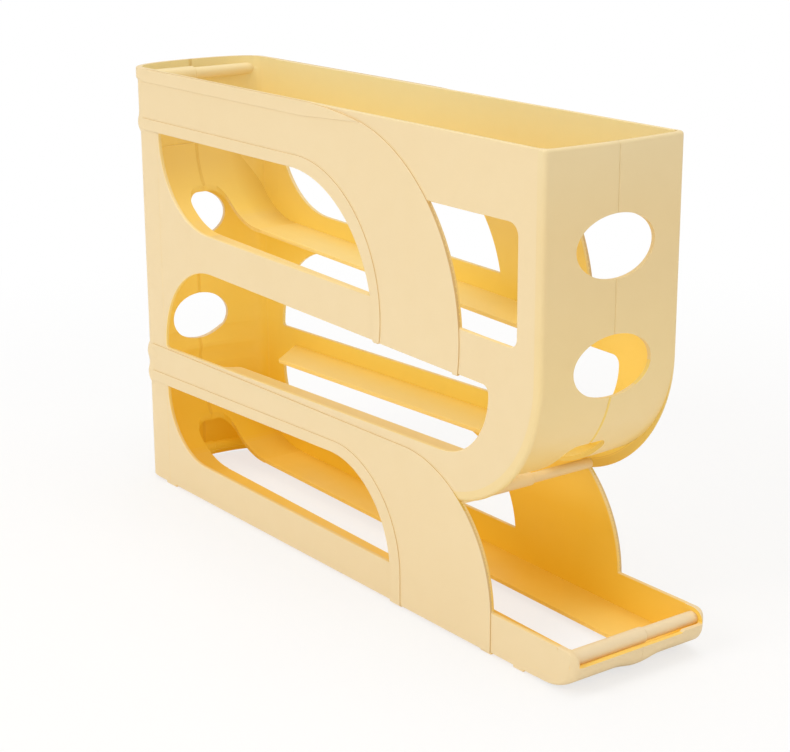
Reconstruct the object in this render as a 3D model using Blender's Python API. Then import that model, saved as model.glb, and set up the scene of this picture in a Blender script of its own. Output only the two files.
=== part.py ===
"""Rolling egg dispenser: two mirror halves that snap together on the centre plane.

Metres, +Z up. The origin is at the middle of the footprint, on the surface that it stands on.
The tray faces +X, the right half lies at -Y and the left half at +Y.
"""
import math

import bmesh
import bpy
from mathutils import Vector

# Overall sizes
LENGTH = 0.320
WIDTH = 0.070
HEIGHT = 0.200

# Sheet and fit
WALL = 0.0018
CLEARANCE = 0.0003
OVERRUN = 0.010
BAND_PROUD = 0.0007
BEAD_PROUD = 0.0020
EDGE_ROUND = 0.0012

# Feet under the side panels
FOOT_HEIGHT = 0.0009
BACK_FOOT_LENGTH = 0.009
BACK_FOOT_SETBACK = 0.0078
FRONT_FOOT_LENGTH = 0.006
BAND_FOOT_LENGTH = 0.0065
FRONT_FOOT_GAP = 0.0132

# Rounded back end, as a superellipse in plan
BACK_DEPTH = 0.014
BACK_EXPONENT = 2.4
BACK_BEAD_HEIGHT = 0.009
BACK_BEAD_GAP = 0.0016
RIM_BEAD_HEIGHT = 0.006

# Front wall and the turn below it
TRAY_REACH = 0.0221
FRONT_CORNER_RADIUS = 0.003
FRONT_CROWN = 0.0015
TURN_RADIUS = 0.0495
TURN_FLANGE = 0.010

# Rails at mid length: the upper one below the rim, the lower one above the floor, and the middle one above
# half way between them; then each one's fall towards the tray as a share of the length
UPPER_RAIL_DEPTH = 0.0809
LOWER_RAIL_HEIGHT = 0.0055
MIDDLE_RAIL_RISE = 0.0027
UPPER_RAIL_FALL_SHARE = 0.0341
MIDDLE_RAIL_FALL_SHARE = -0.0283
LOWER_RAIL_FALL_SHARE = 0.0183
RAIL_SLOT_WIDTH = 0.0208
RAIL_END_SLANT = 0.0187
RAIL_END_ROUND = 0.003
UPPER_RAIL_DROP = 0.0394
MIDDLE_RAIL_DROP = 0.0368

# Chutes at the back
CHUTE_RADIUS = 0.039
CHUTE_SLOT_SETBACK = 0.0076
SLOT_ROUND = 0.005
TURN_SLOT_SETBACK = 0.0103

# Windows: posts beside them, sills above a rail and headers below one
BACK_POST_WIDTH = 0.0127
FRONT_POST_WIDTH = 0.0140
LOWER_POST_WIDTH = 0.0298
RIM_DEPTH = 0.0283
UPPER_SILL_BACK = 0.0074
UPPER_SILL_FRONT = 0.0108
UPPER_HEADER_BACK = 0.0102
UPPER_HEADER_FRONT = 0.0075
MIDDLE_SILL = 0.0081
MIDDLE_HEADER = 0.0106
LOWER_SILL_BACK = 0.0104
LOWER_SILL_FRONT = 0.0138
WINDOW_ROUND = 0.0015
FRONT_WINDOW_TOP_ROUND = 0.005
FRONT_WINDOW_FOOT_ROUND = 0.0035
UPPER_WINDOW_BACK_ROUND = 0.040
MIDDLE_WINDOW_BACK_ROUND = 0.043
MIDDLE_WINDOW_FRONT_ROUND = 0.029
LOWER_WINDOW_BACK_ROUND = 0.033

# Raised bands: each arc by its radius and how far its centre lies behind the front wall
UPPER_BAND_RADIUS = 0.0785
UPPER_BAND_SETBACK = 0.1253
UPPER_BAND_TOP_MARGIN = 0.002
UPPER_ARCH_RADIUS = 0.0575
UPPER_ARCH_SETBACK = 0.1587
LOWER_BAND_RADIUS = 0.055
LOWER_BAND_SETBACK = 0.0814
LOWER_BAND_TOP_MARGIN = 0.0044
LOWER_BAND_BACK_MARGIN = 0.0025
LOWER_ARCH_RADIUS = 0.0411
LOWER_ARCH_SETBACK = 0.1315

# Tray
TRAY_HEIGHT = 0.0177
TRAY_NOSE_DEPTH = 0.008
TRAY_NOSE_CORNER_ROUND = 0.003
TRAY_NOSE_TOP_ROUND = 0.006
TRAY_NOSE_FOOT_ROUND = 0.0075
TRAY_LIP_HEIGHT = 0.0111
TRAY_RIGHT_CHEEK_WIDTH = 0.009
TRAY_LEFT_CHEEK_WIDTH = 0.0025

# Eye-shaped holes on the seam
FRONT_EYE_WIDTH = 0.0386
FRONT_EYE_HEIGHT = 0.0244
BACK_EYE_WIDTH = 0.0310
BACK_EYE_HEIGHT = 0.0232
FRONT_UPPER_EYE_DROP = 0.0382
FRONT_LOWER_EYE_DROP = 0.0834
BACK_UPPER_EYE_DROP = 0.0750
BACK_LOWER_EYE_DROP = 0.1258

# Snap pegs: common sizes
PEG_LENGTH = 0.010
PEG_RADIUS = 0.0015
BORE_SPARE = 0.002

# Cross rods: socket radius, plain rod radius, where the socket's mouth lies past the centre plane
TOP_ROD_RADIUS = 0.0028
TOP_SOCKET_RADIUS = 0.0035
TOP_ROD_SETBACK = 0.006
TOP_ROD_DROP = 0.0060
TOP_MOUTH = -0.0020
TRAY_ROD_RADIUS = 0.0032
TRAY_SOCKET_RADIUS = 0.0038
TRAY_ROD_HEIGHT = 0.0124
TRAY_MOUTH = 0.005
BACK_ROD_RADIUS = 0.0023
BACK_SOCKET_RADIUS = 0.0030
BACK_ROD_SETBACK = 0.0085
BACK_ROD_HEIGHT = 0.0075
BACK_MOUTH = 0.001
TURN_ROD_RADIUS = 0.0021
TURN_SOCKET_RADIUS = 0.0027
TURN_ROD_FORWARD = 0.0045
TURN_ROD_DROP = 0.0035
TURN_MOUTH = 0.001

# Fineness of round shapes
ARC_STEP = math.radians(9)
CORNER_STEP = math.radians(4.5)
TURNED_SIDES = 16
EYE_SIDES = 28
BACK_STATIONS = 9
BEAD_STEPS = 4
SMOOTH_ANGLE = math.radians(35)
CROSSING_TRIES = 12
MERGE_DISTANCE = 0.00001

# Colour of the moulded plastic, as linear light values, and its finish
BUTTER_COLOUR = (0.90, 0.70, 0.36, 1.0)
SATIN_ROUGHNESS = 0.42
PLASTIC_METALLIC = 0.0

# Places that follow from the sizes above
NOSE_X = LENGTH / 2
BACK_X = -LENGTH / 2 + BEAD_PROUD
FRONT_X = NOSE_X - TRAY_REACH
BACK_START_X = BACK_X + BACK_DEPTH
PANEL_OUT = WIDTH / 2 - BAND_PROUD - CLEARANCE
PANEL_IN = PANEL_OUT - WALL
LEDGE_OUT = PANEL_IN - CLEARANCE
SEAM = CLEARANCE / 2
SLOT_HALF = RAIL_SLOT_WIDTH / 2
PANEL_BACK_X = BACK_START_X + CLEARANCE
POST_X = PANEL_BACK_X + BACK_POST_WIDTH
CHUTE_X = BACK_X + WALL + CLEARANCE + CHUTE_RADIUS
WINDOW_TOP = HEIGHT - RIM_DEPTH
UPPER_RAIL_HEIGHT = HEIGHT - UPPER_RAIL_DEPTH
MIDDLE_RAIL_HEIGHT = (UPPER_RAIL_HEIGHT + LOWER_RAIL_HEIGHT) / 2 + MIDDLE_RAIL_RISE
TURN_X = FRONT_X - TURN_RADIUS
NOSE_START_X = NOSE_X - TRAY_NOSE_DEPTH


def upper_rail_z(x):
    return UPPER_RAIL_HEIGHT - UPPER_RAIL_FALL_SHARE * x


def middle_rail_z(x):
    return MIDDLE_RAIL_HEIGHT - MIDDLE_RAIL_FALL_SHARE * x


def lower_rail_z(x):
    return LOWER_RAIL_HEIGHT - LOWER_RAIL_FALL_SHARE * x


TURN_Z = middle_rail_z(TURN_X) - WALL + TURN_RADIUS


def between(low_x, low_value, high_x, high_value, x):
    """Value at x on the straight line through two stations."""
    return low_value + (high_value - low_value) * (x - low_x) / (high_x - low_x)


def upper_sill_z(x):
    sill = between(POST_X, UPPER_SILL_BACK, FRONT_X, UPPER_SILL_FRONT, x)
    return upper_rail_z(x) + sill


def upper_header_z(x):
    header = between(POST_X, UPPER_HEADER_BACK, FRONT_X, UPPER_HEADER_FRONT, x)
    return upper_rail_z(x) - header


def middle_sill_z(x):
    return middle_rail_z(x) + MIDDLE_SILL


def middle_header_z(x):
    return middle_rail_z(x) - MIDDLE_HEADER


def lower_sill_z(x):
    sill = between(POST_X, LOWER_SILL_BACK, FRONT_X, LOWER_SILL_FRONT, x)
    return lower_rail_z(x) + sill


class Circle:
    """A circle in the side view."""

    def __init__(self, x, z, radius):
        self.x = x
        self.z = z
        self.radius = radius

    def x_at(self, z):
        """The circle's front crossing of a level."""
        return self.x + math.sqrt(self.radius ** 2 - (z - self.z) ** 2)

    def angle_of(self, x, z):
        return math.atan2(z - self.z, x - self.x)

    def x_on(self, line):
        """The circle's front crossing of a gently sloping line z = line(x)."""
        x = self.x + self.radius
        for _ in range(CROSSING_TRIES):
            x = self.x_at(line(x))
        return x

    def arc(self, start, end):
        count = max(2, math.ceil(abs(end - start) / ARC_STEP))
        angles = [start + (end - start) * step / count for step in range(count + 1)]
        return [(self.x + self.radius * math.cos(angle), self.z + self.radius * math.sin(angle))
                for angle in angles]

    def meet(self, other):
        """The lower crossing of two circles."""
        span = math.hypot(other.x - self.x, other.z - self.z)
        along = (span ** 2 + self.radius ** 2 - other.radius ** 2) / (2 * span)
        across = math.sqrt(self.radius ** 2 - along ** 2)
        ux = (other.x - self.x) / span
        uz = (other.z - self.z) / span
        first = (self.x + along * ux - across * uz, self.z + along * uz + across * ux)
        second = (self.x + along * ux + across * uz, self.z + along * uz - across * ux)
        return max(first, second)


UPPER_BAND_X = FRONT_X - UPPER_BAND_SETBACK
UPPER_BAND = Circle(UPPER_BAND_X, HEIGHT - UPPER_BAND_TOP_MARGIN - UPPER_BAND_RADIUS, UPPER_BAND_RADIUS)
UPPER_ARCH = Circle(FRONT_X - UPPER_ARCH_SETBACK, WINDOW_TOP - UPPER_ARCH_RADIUS, UPPER_ARCH_RADIUS)
LOWER_BAND_X = FRONT_X - LOWER_BAND_SETBACK
LOWER_BAND_TOP = middle_sill_z(LOWER_BAND_X) - LOWER_BAND_TOP_MARGIN
LOWER_BAND = Circle(LOWER_BAND_X, LOWER_BAND_TOP - LOWER_BAND_RADIUS, LOWER_BAND_RADIUS)
LOWER_ARCH_X = FRONT_X - LOWER_ARCH_SETBACK
LOWER_ARCH = Circle(LOWER_ARCH_X, middle_header_z(LOWER_ARCH_X) - LOWER_ARCH_RADIUS, LOWER_ARCH_RADIUS)
FLANGE_RADIUS = TURN_RADIUS + TURN_FLANGE
FLANGE = Circle(FRONT_X - FLANGE_RADIUS, TURN_Z, FLANGE_RADIUS)


# Outlines

def rounded(corners):
    """Outline through (u, v, radius) corners, each turned with its own radius as far as its edges allow."""
    count = len(corners)
    reach = []
    for index, (u, v, radius) in enumerate(corners):
        before = Vector(corners[index - 1][:2]) - Vector((u, v))
        after = Vector(corners[(index + 1) % count][:2]) - Vector((u, v))
        reach.append(radius / math.tan(before.angle(after) / 2))
    for index in range(count):
        following = (index + 1) % count
        edge = (Vector(corners[following][:2]) - Vector(corners[index][:2])).length
        used = reach[index] + reach[following]
        if used > edge:
            reach[index] *= edge / used
            reach[following] *= edge / used
    points = []
    for index, (u, v, radius) in enumerate(corners):
        corner = Vector((u, v))
        before = (Vector(corners[index - 1][:2]) - corner).normalized()
        after = (Vector(corners[(index + 1) % count][:2]) - corner).normalized()
        half = before.angle(after) / 2
        turned = reach[index] * math.tan(half)
        if turned == 0:
            points.append((u, v))
            continue
        centre = corner + (before + after).normalized() * (turned / math.sin(half))
        first = corner + before * reach[index] - centre
        sweep = first.angle_signed(corner + after * reach[index] - centre)
        steps = max(1, math.ceil(abs(sweep) / ARC_STEP))
        for step in range(steps + 1):
            turn = -sweep * step / steps
            points.append((centre.x + first.x * math.cos(turn) - first.y * math.sin(turn),
                           centre.y + first.x * math.sin(turn) + first.y * math.cos(turn)))
    return tidy(points)


def tidy(points):
    """Drop points that fall on their neighbour."""
    kept = []
    for point in points:
        if not kept or math.dist(point, kept[-1]) > CLEARANCE:
            kept.append(point)
    if math.dist(kept[0], kept[-1]) <= CLEARANCE:
        kept.pop()
    return kept


def back_curve(half_width, depth, stations=BACK_STATIONS):
    """Plan curve of the rounded back, from the side at its start to the centre plane."""
    power = 2 / BACK_EXPONENT
    curve = []
    for station in range(stations + 1):
        turn = math.pi / 2 * station / stations
        across = half_width * max(0.0, math.cos(turn)) ** power
        curve.append((BACK_START_X - depth * math.sin(turn) ** power, max(SEAM, across)))
    return curve


# Meshes

def finish(name, mesh, material_name):
    bmesh.ops.remove_doubles(mesh, verts=mesh.verts, dist=MERGE_DISTANCE)
    bmesh.ops.recalc_face_normals(mesh, faces=mesh.faces)
    data = bpy.data.meshes.new(name)
    mesh.to_mesh(data)
    mesh.free()
    data.shade_smooth()
    data.set_sharp_from_angle(angle=SMOOTH_ANGLE)
    item = bpy.data.objects.new(name, data)
    bpy.context.scene.collection.objects.link(item)
    if material_name:
        data.materials.append(plastic(material_name))
    return item


def slab(name, outer, holes, place, thickness, material_name=None):
    """Plate with holes: place maps a point of the outline to 3-D, and thickness is the way it grows."""
    mesh = bmesh.new()
    edges = []
    for loop in [outer] + holes:
        corners = [mesh.verts.new(place(u, v)) for u, v in loop]
        for index, corner in enumerate(corners):
            edges.append(mesh.edges.new((corners[index - 1], corner)))
    bmesh.ops.triangle_fill(mesh, use_beauty=True, edges=edges)
    grown = bmesh.ops.extrude_face_region(mesh, geom=mesh.faces[:])
    moved = [item for item in grown["geom"] if isinstance(item, bmesh.types.BMVert)]
    bmesh.ops.translate(mesh, verts=moved, vec=Vector(thickness))
    return finish(name, mesh, material_name)


def sheet(name, front, back, material_name=None):
    """Closed sheet between two grids of points with the same number of rows and columns."""
    mesh = bmesh.new()
    sides = [[[mesh.verts.new(point) for point in row] for row in grid] for grid in (front, back)]
    rows = len(front)
    columns = len(front[0])
    for grid in sides:
        for row in range(rows - 1):
            for column in range(columns - 1):
                mesh.faces.new((grid[row][column], grid[row][column + 1],
                                grid[row + 1][column + 1], grid[row + 1][column]))
    rim = [(0, column) for column in range(columns)]
    rim += [(row, columns - 1) for row in range(1, rows)]
    rim += [(rows - 1, column) for column in reversed(range(columns - 1))]
    rim += [(row, 0) for row in reversed(range(1, rows - 1))]
    for index, (row, column) in enumerate(rim):
        last_row, last_column = rim[index - 1]
        mesh.faces.new((sides[0][last_row][last_column], sides[0][row][column],
                        sides[1][row][column], sides[1][last_row][last_column]))
    return finish(name, mesh, material_name)


def turned(name, profile, x, z, material_name=None):
    """Solid turned round an axis along Y, from (y, radius) points that start and end on the axis."""
    mesh = bmesh.new()
    rings = []
    for y, radius in profile:
        if radius == 0:
            rings.append([mesh.verts.new((x, y, z))])
            continue
        ring = []
        for side in range(TURNED_SIDES):
            turn = 2 * math.pi * side / TURNED_SIDES
            ring.append(mesh.verts.new((x + radius * math.cos(turn), y, z + radius * math.sin(turn))))
        rings.append(ring)
    for first, second in zip(rings, rings[1:]):
        for side in range(TURNED_SIDES):
            following = (side + 1) % TURNED_SIDES
            corners = [first[side % len(first)], first[following % len(first)],
                       second[following % len(second)], second[side % len(second)]]
            mesh.faces.new(list(dict.fromkeys(corners)))
    return finish(name, mesh, material_name)


def plastic(name):
    """Satin butter-coloured plastic for one sub-part."""
    material = bpy.data.materials.new(name + "_plastic")
    material.use_nodes = True
    shader = material.node_tree.nodes["Principled BSDF"]
    shader.inputs["Base Color"].default_value = BUTTER_COLOUR
    shader.inputs["Roughness"].default_value = SATIN_ROUGHNESS
    shader.inputs["Metallic"].default_value = PLASTIC_METALLIC
    material.diffuse_color = BUTTER_COLOUR
    return material


def cutter(item):
    item.hide_render = True
    item.display_type = 'WIRE'
    return item


def trim(item, tool, operation):
    step = item.modifiers.new(tool.name, 'BOOLEAN')
    step.object = tool
    step.operation = operation
    step.solver = 'EXACT'


# Cutters

def make_cavity():
    """The space inside the walls, less the clearance, as seen from above."""
    half = back_curve(LEDGE_OUT, BACK_DEPTH - WALL - CLEARANCE)
    nose_in = NOSE_X - WALL - CLEARANCE
    corner = TRAY_NOSE_CORNER_ROUND - WALL - CLEARANCE
    nose = rounded([(BACK_START_X, LEDGE_OUT, 0), (nose_in, LEDGE_OUT, corner),
                    (nose_in, -LEDGE_OUT, corner), (BACK_START_X, -LEDGE_OUT, 0)])
    back = [(x, -y) for x, y in half[1:]] + [(x, y) for x, y in reversed(half[1:])]
    return cutter(slab("cavity_cutter", tidy(nose + back), [], lambda x, y: (x, y, -OVERRUN),
                       (0, 0, HEIGHT + 2 * OVERRUN)))


def make_slot_cutter(name, start_x, end_x):
    """Upright slot between the two rails, round at its closed end."""
    outline = rounded([(start_x, SLOT_HALF, SLOT_ROUND), (start_x, -SLOT_HALF, SLOT_ROUND),
                       (end_x, -SLOT_HALF, 0), (end_x, SLOT_HALF, 0)])
    return cutter(slab(name, outline, [], lambda x, y: (x, y, -OVERRUN), (0, 0, HEIGHT + 2 * OVERRUN)))


def make_eye_cutter(name, start_x, end_x, z, width, height):
    """Eye-shaped hole along X."""
    turns = [2 * math.pi * side / EYE_SIDES for side in range(EYE_SIDES)]
    outline = [(width / 2 * math.cos(turn), z + height / 2 * math.sin(turn)) for turn in turns]
    return cutter(slab(name, outline, [], lambda y, level: (start_x, y, level), (end_x - start_x, 0, 0)))


def make_nose_profile(name, inset, top, top_round):
    """Side profile of the tray's front corner, drawn in by the sheet where it is the inner one."""
    start_x = NOSE_START_X - OVERRUN
    front_x = NOSE_X - inset
    foot = FOOT_HEIGHT + inset
    outline = rounded([(start_x, foot, 0), (front_x, foot, TRAY_NOSE_FOOT_ROUND - inset),
                       (front_x, top, top_round), (start_x, top, 0)])
    return cutter(slab(name, outline, [], lambda x, z: (x, -WIDTH, z), (0, 2 * WIDTH, 0)))


def make_nose_hollow(profile):
    """The space inside the tray's front corner."""
    front_x = NOSE_X - WALL
    start_x = NOSE_START_X - OVERRUN
    corner = TRAY_NOSE_CORNER_ROUND - WALL
    outline = rounded([(start_x, -PANEL_IN, 0), (front_x, -PANEL_IN, corner),
                       (front_x, PANEL_IN, corner), (start_x, PANEL_IN, 0)])
    hollow = cutter(slab("nose_hollow_cutter", outline, [], lambda x, y: (x, y, 0),
                         (0, 0, TRAY_HEIGHT + OVERRUN)))
    trim(hollow, profile, 'INTERSECT')
    return hollow


def make_lip_cutter():
    """Gap above the tray's lip, between its two corners."""
    right = TRAY_RIGHT_CHEEK_WIDTH - PANEL_OUT
    left = PANEL_OUT - TRAY_LEFT_CHEEK_WIDTH
    top = TRAY_HEIGHT + OVERRUN
    outline = rounded([(right, TRAY_LIP_HEIGHT, EDGE_ROUND), (left, TRAY_LIP_HEIGHT, EDGE_ROUND),
                       (left, top, 0), (right, top, 0)])
    return cutter(slab("lip_cutter", outline, [], lambda y, z: (NOSE_START_X - OVERRUN, y, z),
                       (TRAY_NOSE_DEPTH + 2 * OVERRUN, 0, 0)))


# Windows in the side panel

def arched_window(arch, top_line, sill_line, back_round):
    """Window with a round back corner and an arched front."""
    end_x = arch.x_on(sill_line)
    foot = arch.angle_of(end_x, sill_line(end_x))
    body = rounded([(arch.x, arch.z + arch.radius, 0), (POST_X, top_line(POST_X), WINDOW_ROUND),
                    (POST_X, sill_line(POST_X), back_round), (end_x, sill_line(end_x), 0)])
    return tidy(body + arch.arc(foot, math.pi / 2)[1:-1])


def front_window():
    """Window between the upper band and the front post."""
    top_x = UPPER_BAND.x_at(WINDOW_TOP)
    foot_x = UPPER_BAND.x_on(upper_sill_z)
    front_x = FRONT_X - FRONT_POST_WIDTH
    top = UPPER_BAND.angle_of(top_x, WINDOW_TOP)
    foot = UPPER_BAND.angle_of(foot_x, upper_sill_z(foot_x))
    body = rounded([(foot_x, upper_sill_z(foot_x), 0),
                    (front_x, upper_sill_z(front_x), FRONT_WINDOW_FOOT_ROUND),
                    (front_x, WINDOW_TOP, FRONT_WINDOW_TOP_ROUND), (top_x, WINDOW_TOP, 0)])
    return tidy(body + UPPER_BAND.arc(top, foot)[1:-1])


def middle_window():
    """Window between the upper and the middle rail."""
    front_x = FRONT_X - LOWER_POST_WIDTH
    return rounded([(POST_X, middle_sill_z(POST_X), WINDOW_ROUND),
                    (front_x, middle_sill_z(front_x), MIDDLE_WINDOW_FRONT_ROUND),
                    (front_x, upper_header_z(front_x), FRONT_WINDOW_FOOT_ROUND),
                    (POST_X, upper_header_z(POST_X), MIDDLE_WINDOW_BACK_ROUND)])


# Side panel and its raised bands

BAND_FOOT_X = LOWER_BAND.x_at(TRAY_HEIGHT)
ARCH_FOOT_X = LOWER_ARCH.x + LOWER_ARCH.radius


def panel_outline():
    """Side view of the panel, from its back foot round by the tray and the turn to the rim."""
    feet = [(PANEL_BACK_X + BACK_FOOT_SETBACK, BACK_FOOT_LENGTH), (ARCH_FOOT_X, BAND_FOOT_LENGTH),
            (BAND_FOOT_X - BAND_FOOT_LENGTH, BAND_FOOT_LENGTH),
            (BAND_FOOT_X + FRONT_FOOT_GAP, FRONT_FOOT_LENGTH)]
    outline = [(PANEL_BACK_X, FOOT_HEIGHT)]
    for start, length in feet:
        end = start + length
        outline += [(start, FOOT_HEIGHT), (start, 0), (end, 0), (end, FOOT_HEIGHT)]
    tray_end = NOSE_START_X - CLEARANCE
    outline += [(tray_end, FOOT_HEIGHT), (tray_end, TRAY_HEIGHT)]
    meeting = LOWER_BAND.meet(FLANGE)
    outline += LOWER_BAND.arc(LOWER_BAND.angle_of(BAND_FOOT_X, TRAY_HEIGHT), LOWER_BAND.angle_of(*meeting))
    outline += FLANGE.arc(FLANGE.angle_of(*meeting), 0)[1:]
    post_x = FRONT_X - FRONT_CORNER_RADIUS - CLEARANCE
    return tidy(outline + [(post_x, TURN_Z), (post_x, HEIGHT), (PANEL_BACK_X, HEIGHT)])


def upper_band_outline():
    arch_x = UPPER_ARCH.x_on(upper_header_z)
    band_x = UPPER_BAND.x_on(upper_header_z)
    arch_end = UPPER_ARCH.angle_of(arch_x, upper_header_z(arch_x))
    band_start = UPPER_BAND.angle_of(band_x, upper_header_z(band_x))
    outline = [(PANEL_BACK_X, WINDOW_TOP)] + UPPER_ARCH.arc(math.pi / 2, arch_end)
    outline += UPPER_BAND.arc(band_start, math.pi / 2)
    return tidy(outline + [(UPPER_BAND.x, HEIGHT), (PANEL_BACK_X, HEIGHT)])


def lower_band_outline():
    outline = [(PANEL_BACK_X, middle_header_z(PANEL_BACK_X))] + LOWER_ARCH.arc(math.pi / 2, 0)
    outline += [(ARCH_FOOT_X, FOOT_HEIGHT), (BAND_FOOT_X, FOOT_HEIGHT)]
    outline += LOWER_BAND.arc(LOWER_BAND.angle_of(BAND_FOOT_X, TRAY_HEIGHT), math.pi / 2)
    return tidy(outline + [(PANEL_BACK_X, middle_sill_z(PANEL_BACK_X) - LOWER_BAND_BACK_MARGIN)])


def make_side_panel(name, side):
    windows = [arched_window(UPPER_ARCH, lambda x: WINDOW_TOP, upper_sill_z, UPPER_WINDOW_BACK_ROUND),
               front_window(), middle_window(),
               arched_window(LOWER_ARCH, middle_header_z, lower_sill_z, LOWER_WINDOW_BACK_ROUND)]
    return slab(name, panel_outline(), windows, lambda x, z: (x, side * PANEL_IN, z),
                (0, side * WALL, 0), name)


def make_band(name, side, outline):
    start_y = side * (PANEL_OUT + CLEARANCE)
    return slab(name, outline, [], lambda x, z: (x, start_y, z), (0, side * BAND_PROUD, 0), name)


# Back end

def bead_levels(low, high):
    """Levels across a bead, with how far it stands out at each, from 0 to 1."""
    steps = range(BEAD_STEPS + 1)
    return [(low + (high - low) * step / BEAD_STEPS, math.sin(math.pi * step / BEAD_STEPS)) for step in steps]


def make_back_wall(name, side, eyes):
    band_middle = (middle_header_z(BACK_START_X) + middle_sill_z(BACK_START_X)) / 2
    lower_top = band_middle - BACK_BEAD_GAP / 2
    upper_foot = band_middle + BACK_BEAD_GAP / 2
    levels = [(FOOT_HEIGHT, 0)] + bead_levels(lower_top - BACK_BEAD_HEIGHT, lower_top)
    levels += bead_levels(upper_foot, upper_foot + BACK_BEAD_HEIGHT)
    levels += bead_levels(WINDOW_TOP - WALL, WINDOW_TOP - WALL + BACK_BEAD_HEIGHT)
    levels += [(HEIGHT - RIM_BEAD_HEIGHT, 0), (HEIGHT - RIM_BEAD_HEIGHT + BEAD_PROUD, 1), (HEIGHT, 1)]
    side_proud = BAND_PROUD + CLEARANCE
    outer = []
    inner = []
    for z, share in levels:
        curve = back_curve(PANEL_OUT + side_proud * share, BACK_DEPTH + BEAD_PROUD * share)
        outer.append([(x, side * y, z) for x, y in curve])
        inner.append([(x, side * y, z) for x, y in back_curve(PANEL_IN, BACK_DEPTH - WALL)])
    wall = sheet(name, outer, inner, name)
    for eye in eyes:
        trim(wall, eye, 'DIFFERENCE')
    return wall


def make_chute(name, side, rail_z, cavity, slot):
    """Curved sheet from the back wall to the start of a rail, open in the middle at its foot."""
    centre_z = rail_z(CHUTE_X) + CHUTE_RADIUS - WALL
    sweep = math.pi / 2
    rows = math.ceil(sweep / ARC_STEP)
    faces = []
    for radius in (CHUTE_RADIUS - WALL, CHUTE_RADIUS):
        grid = []
        for row in range(rows + 1):
            turn = math.pi + sweep * row / rows
            x = CHUTE_X + radius * math.cos(turn)
            z = centre_z + radius * math.sin(turn)
            grid.append([(x, side * y, z) for y in (SEAM, PANEL_OUT)])
        faces.append(grid)
    chute = sheet(name, faces[0], faces[1], name)
    trim(chute, cavity, 'INTERSECT')
    trim(chute, slot, 'DIFFERENCE')
    return chute


# Rails

def make_rail(name, side, rail_z, outline):
    """Ledge with a plan outline, sloping as rail_z says."""
    return slab(name, outline, [], lambda x, y: (x, side * y, rail_z(x)), (0, 0, -WALL), name)


def upper_rail_outline():
    start_x = CHUTE_X + CLEARANCE
    end_x = FRONT_X - UPPER_RAIL_DROP
    return rounded([(start_x, SLOT_HALF, 0), (end_x - RAIL_END_SLANT, SLOT_HALF, RAIL_END_ROUND),
                    (end_x, LEDGE_OUT, 0), (start_x, LEDGE_OUT, 0)])


def middle_rail_outline():
    start_x = BACK_X + MIDDLE_RAIL_DROP
    end_x = TURN_X - CLEARANCE
    return rounded([(start_x + RAIL_END_SLANT, SLOT_HALF, RAIL_END_ROUND), (end_x, SLOT_HALF, 0),
                    (end_x, LEDGE_OUT, 0), (start_x, LEDGE_OUT, 0)])


def lower_rail_outline():
    start_x = CHUTE_X + CLEARANCE
    end_x = NOSE_START_X - CLEARANCE
    return [(start_x, SLOT_HALF), (end_x, SLOT_HALF), (end_x, LEDGE_OUT), (start_x, LEDGE_OUT)]


# Front end

def crown(y):
    """How far the front wall bulges at a distance from the centre plane."""
    edge = PANEL_OUT - FRONT_CORNER_RADIUS
    return FRONT_CROWN * max(0.0, 1 - (y / edge) ** 2)


def make_front_wall(name, side, eyes):
    edge = PANEL_OUT - FRONT_CORNER_RADIUS
    corner_x = FRONT_X - FRONT_CORNER_RADIUS
    stations = [SEAM + (edge - SEAM) * step / BACK_STATIONS for step in range(BACK_STATIONS)]
    corner_steps = math.ceil(math.pi / 2 / CORNER_STEP)
    grids = []
    for inset in (0, WALL):
        plan = [(FRONT_X - inset + crown(y), y) for y in stations]
        for step in range(corner_steps + 1):
            turn = math.pi / 2 * step / corner_steps
            radius = FRONT_CORNER_RADIUS - inset
            plan.append((corner_x + radius * math.cos(turn), edge + radius * math.sin(turn)))
        grids.append([[(x, side * y, z) for x, y in plan] for z in (TURN_Z + CLEARANCE, HEIGHT)])
    wall = sheet(name, grids[0], grids[1], name)
    for eye in eyes:
        trim(wall, eye, 'DIFFERENCE')
    return wall


def make_front_turn(name, side, eye, slot):
    """Quarter turn from the front wall back to the middle rail."""
    rows = math.ceil(math.pi / 2 / ARC_STEP)
    stations = [SEAM + (LEDGE_OUT - SEAM) * step / BACK_STATIONS for step in range(BACK_STATIONS + 1)]
    grids = []
    for inset in (0, WALL):
        grid = []
        for row in range(rows + 1):
            turn = math.pi / 2 * row / rows
            fade = 1 - row / rows
            reach = [TURN_RADIUS - inset + crown(y) * fade for y in stations]
            grid.append([(TURN_X + radius * math.cos(turn), side * y, TURN_Z - radius * math.sin(turn))
                         for radius, y in zip(reach, stations)])
        grids.append(grid)
    turn_sheet = sheet(name, grids[0], grids[1], name)
    trim(turn_sheet, eye, 'DIFFERENCE')
    trim(turn_sheet, slot, 'DIFFERENCE')
    return turn_sheet


def make_tray_nose(name, side, profile, hollow, lip):
    """Front corner of the tray: floor strip, lip and corner cheek."""
    outline = rounded([(NOSE_START_X, SEAM, 0), (NOSE_X, SEAM, 0),
                       (NOSE_X, PANEL_OUT, TRAY_NOSE_CORNER_ROUND), (NOSE_START_X, PANEL_OUT, 0)])
    nose = slab(name, outline, [], lambda x, y: (x, side * y, FOOT_HEIGHT),
                (0, 0, TRAY_HEIGHT - FOOT_HEIGHT), name)
    trim(nose, profile, 'INTERSECT')
    trim(nose, hollow, 'DIFFERENCE')
    trim(nose, lip, 'DIFFERENCE')
    return nose


# Cross rods with their snap pegs

class Rod:
    """A cross rod: its axis in the side view, its two radii and its socket's mouth."""

    def __init__(self, name, x, z, rod_radius, socket_radius, mouth):
        self.name = name
        self.x = x
        self.z = z
        self.rod_radius = rod_radius
        self.socket_radius = socket_radius
        self.mouth = mouth


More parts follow.
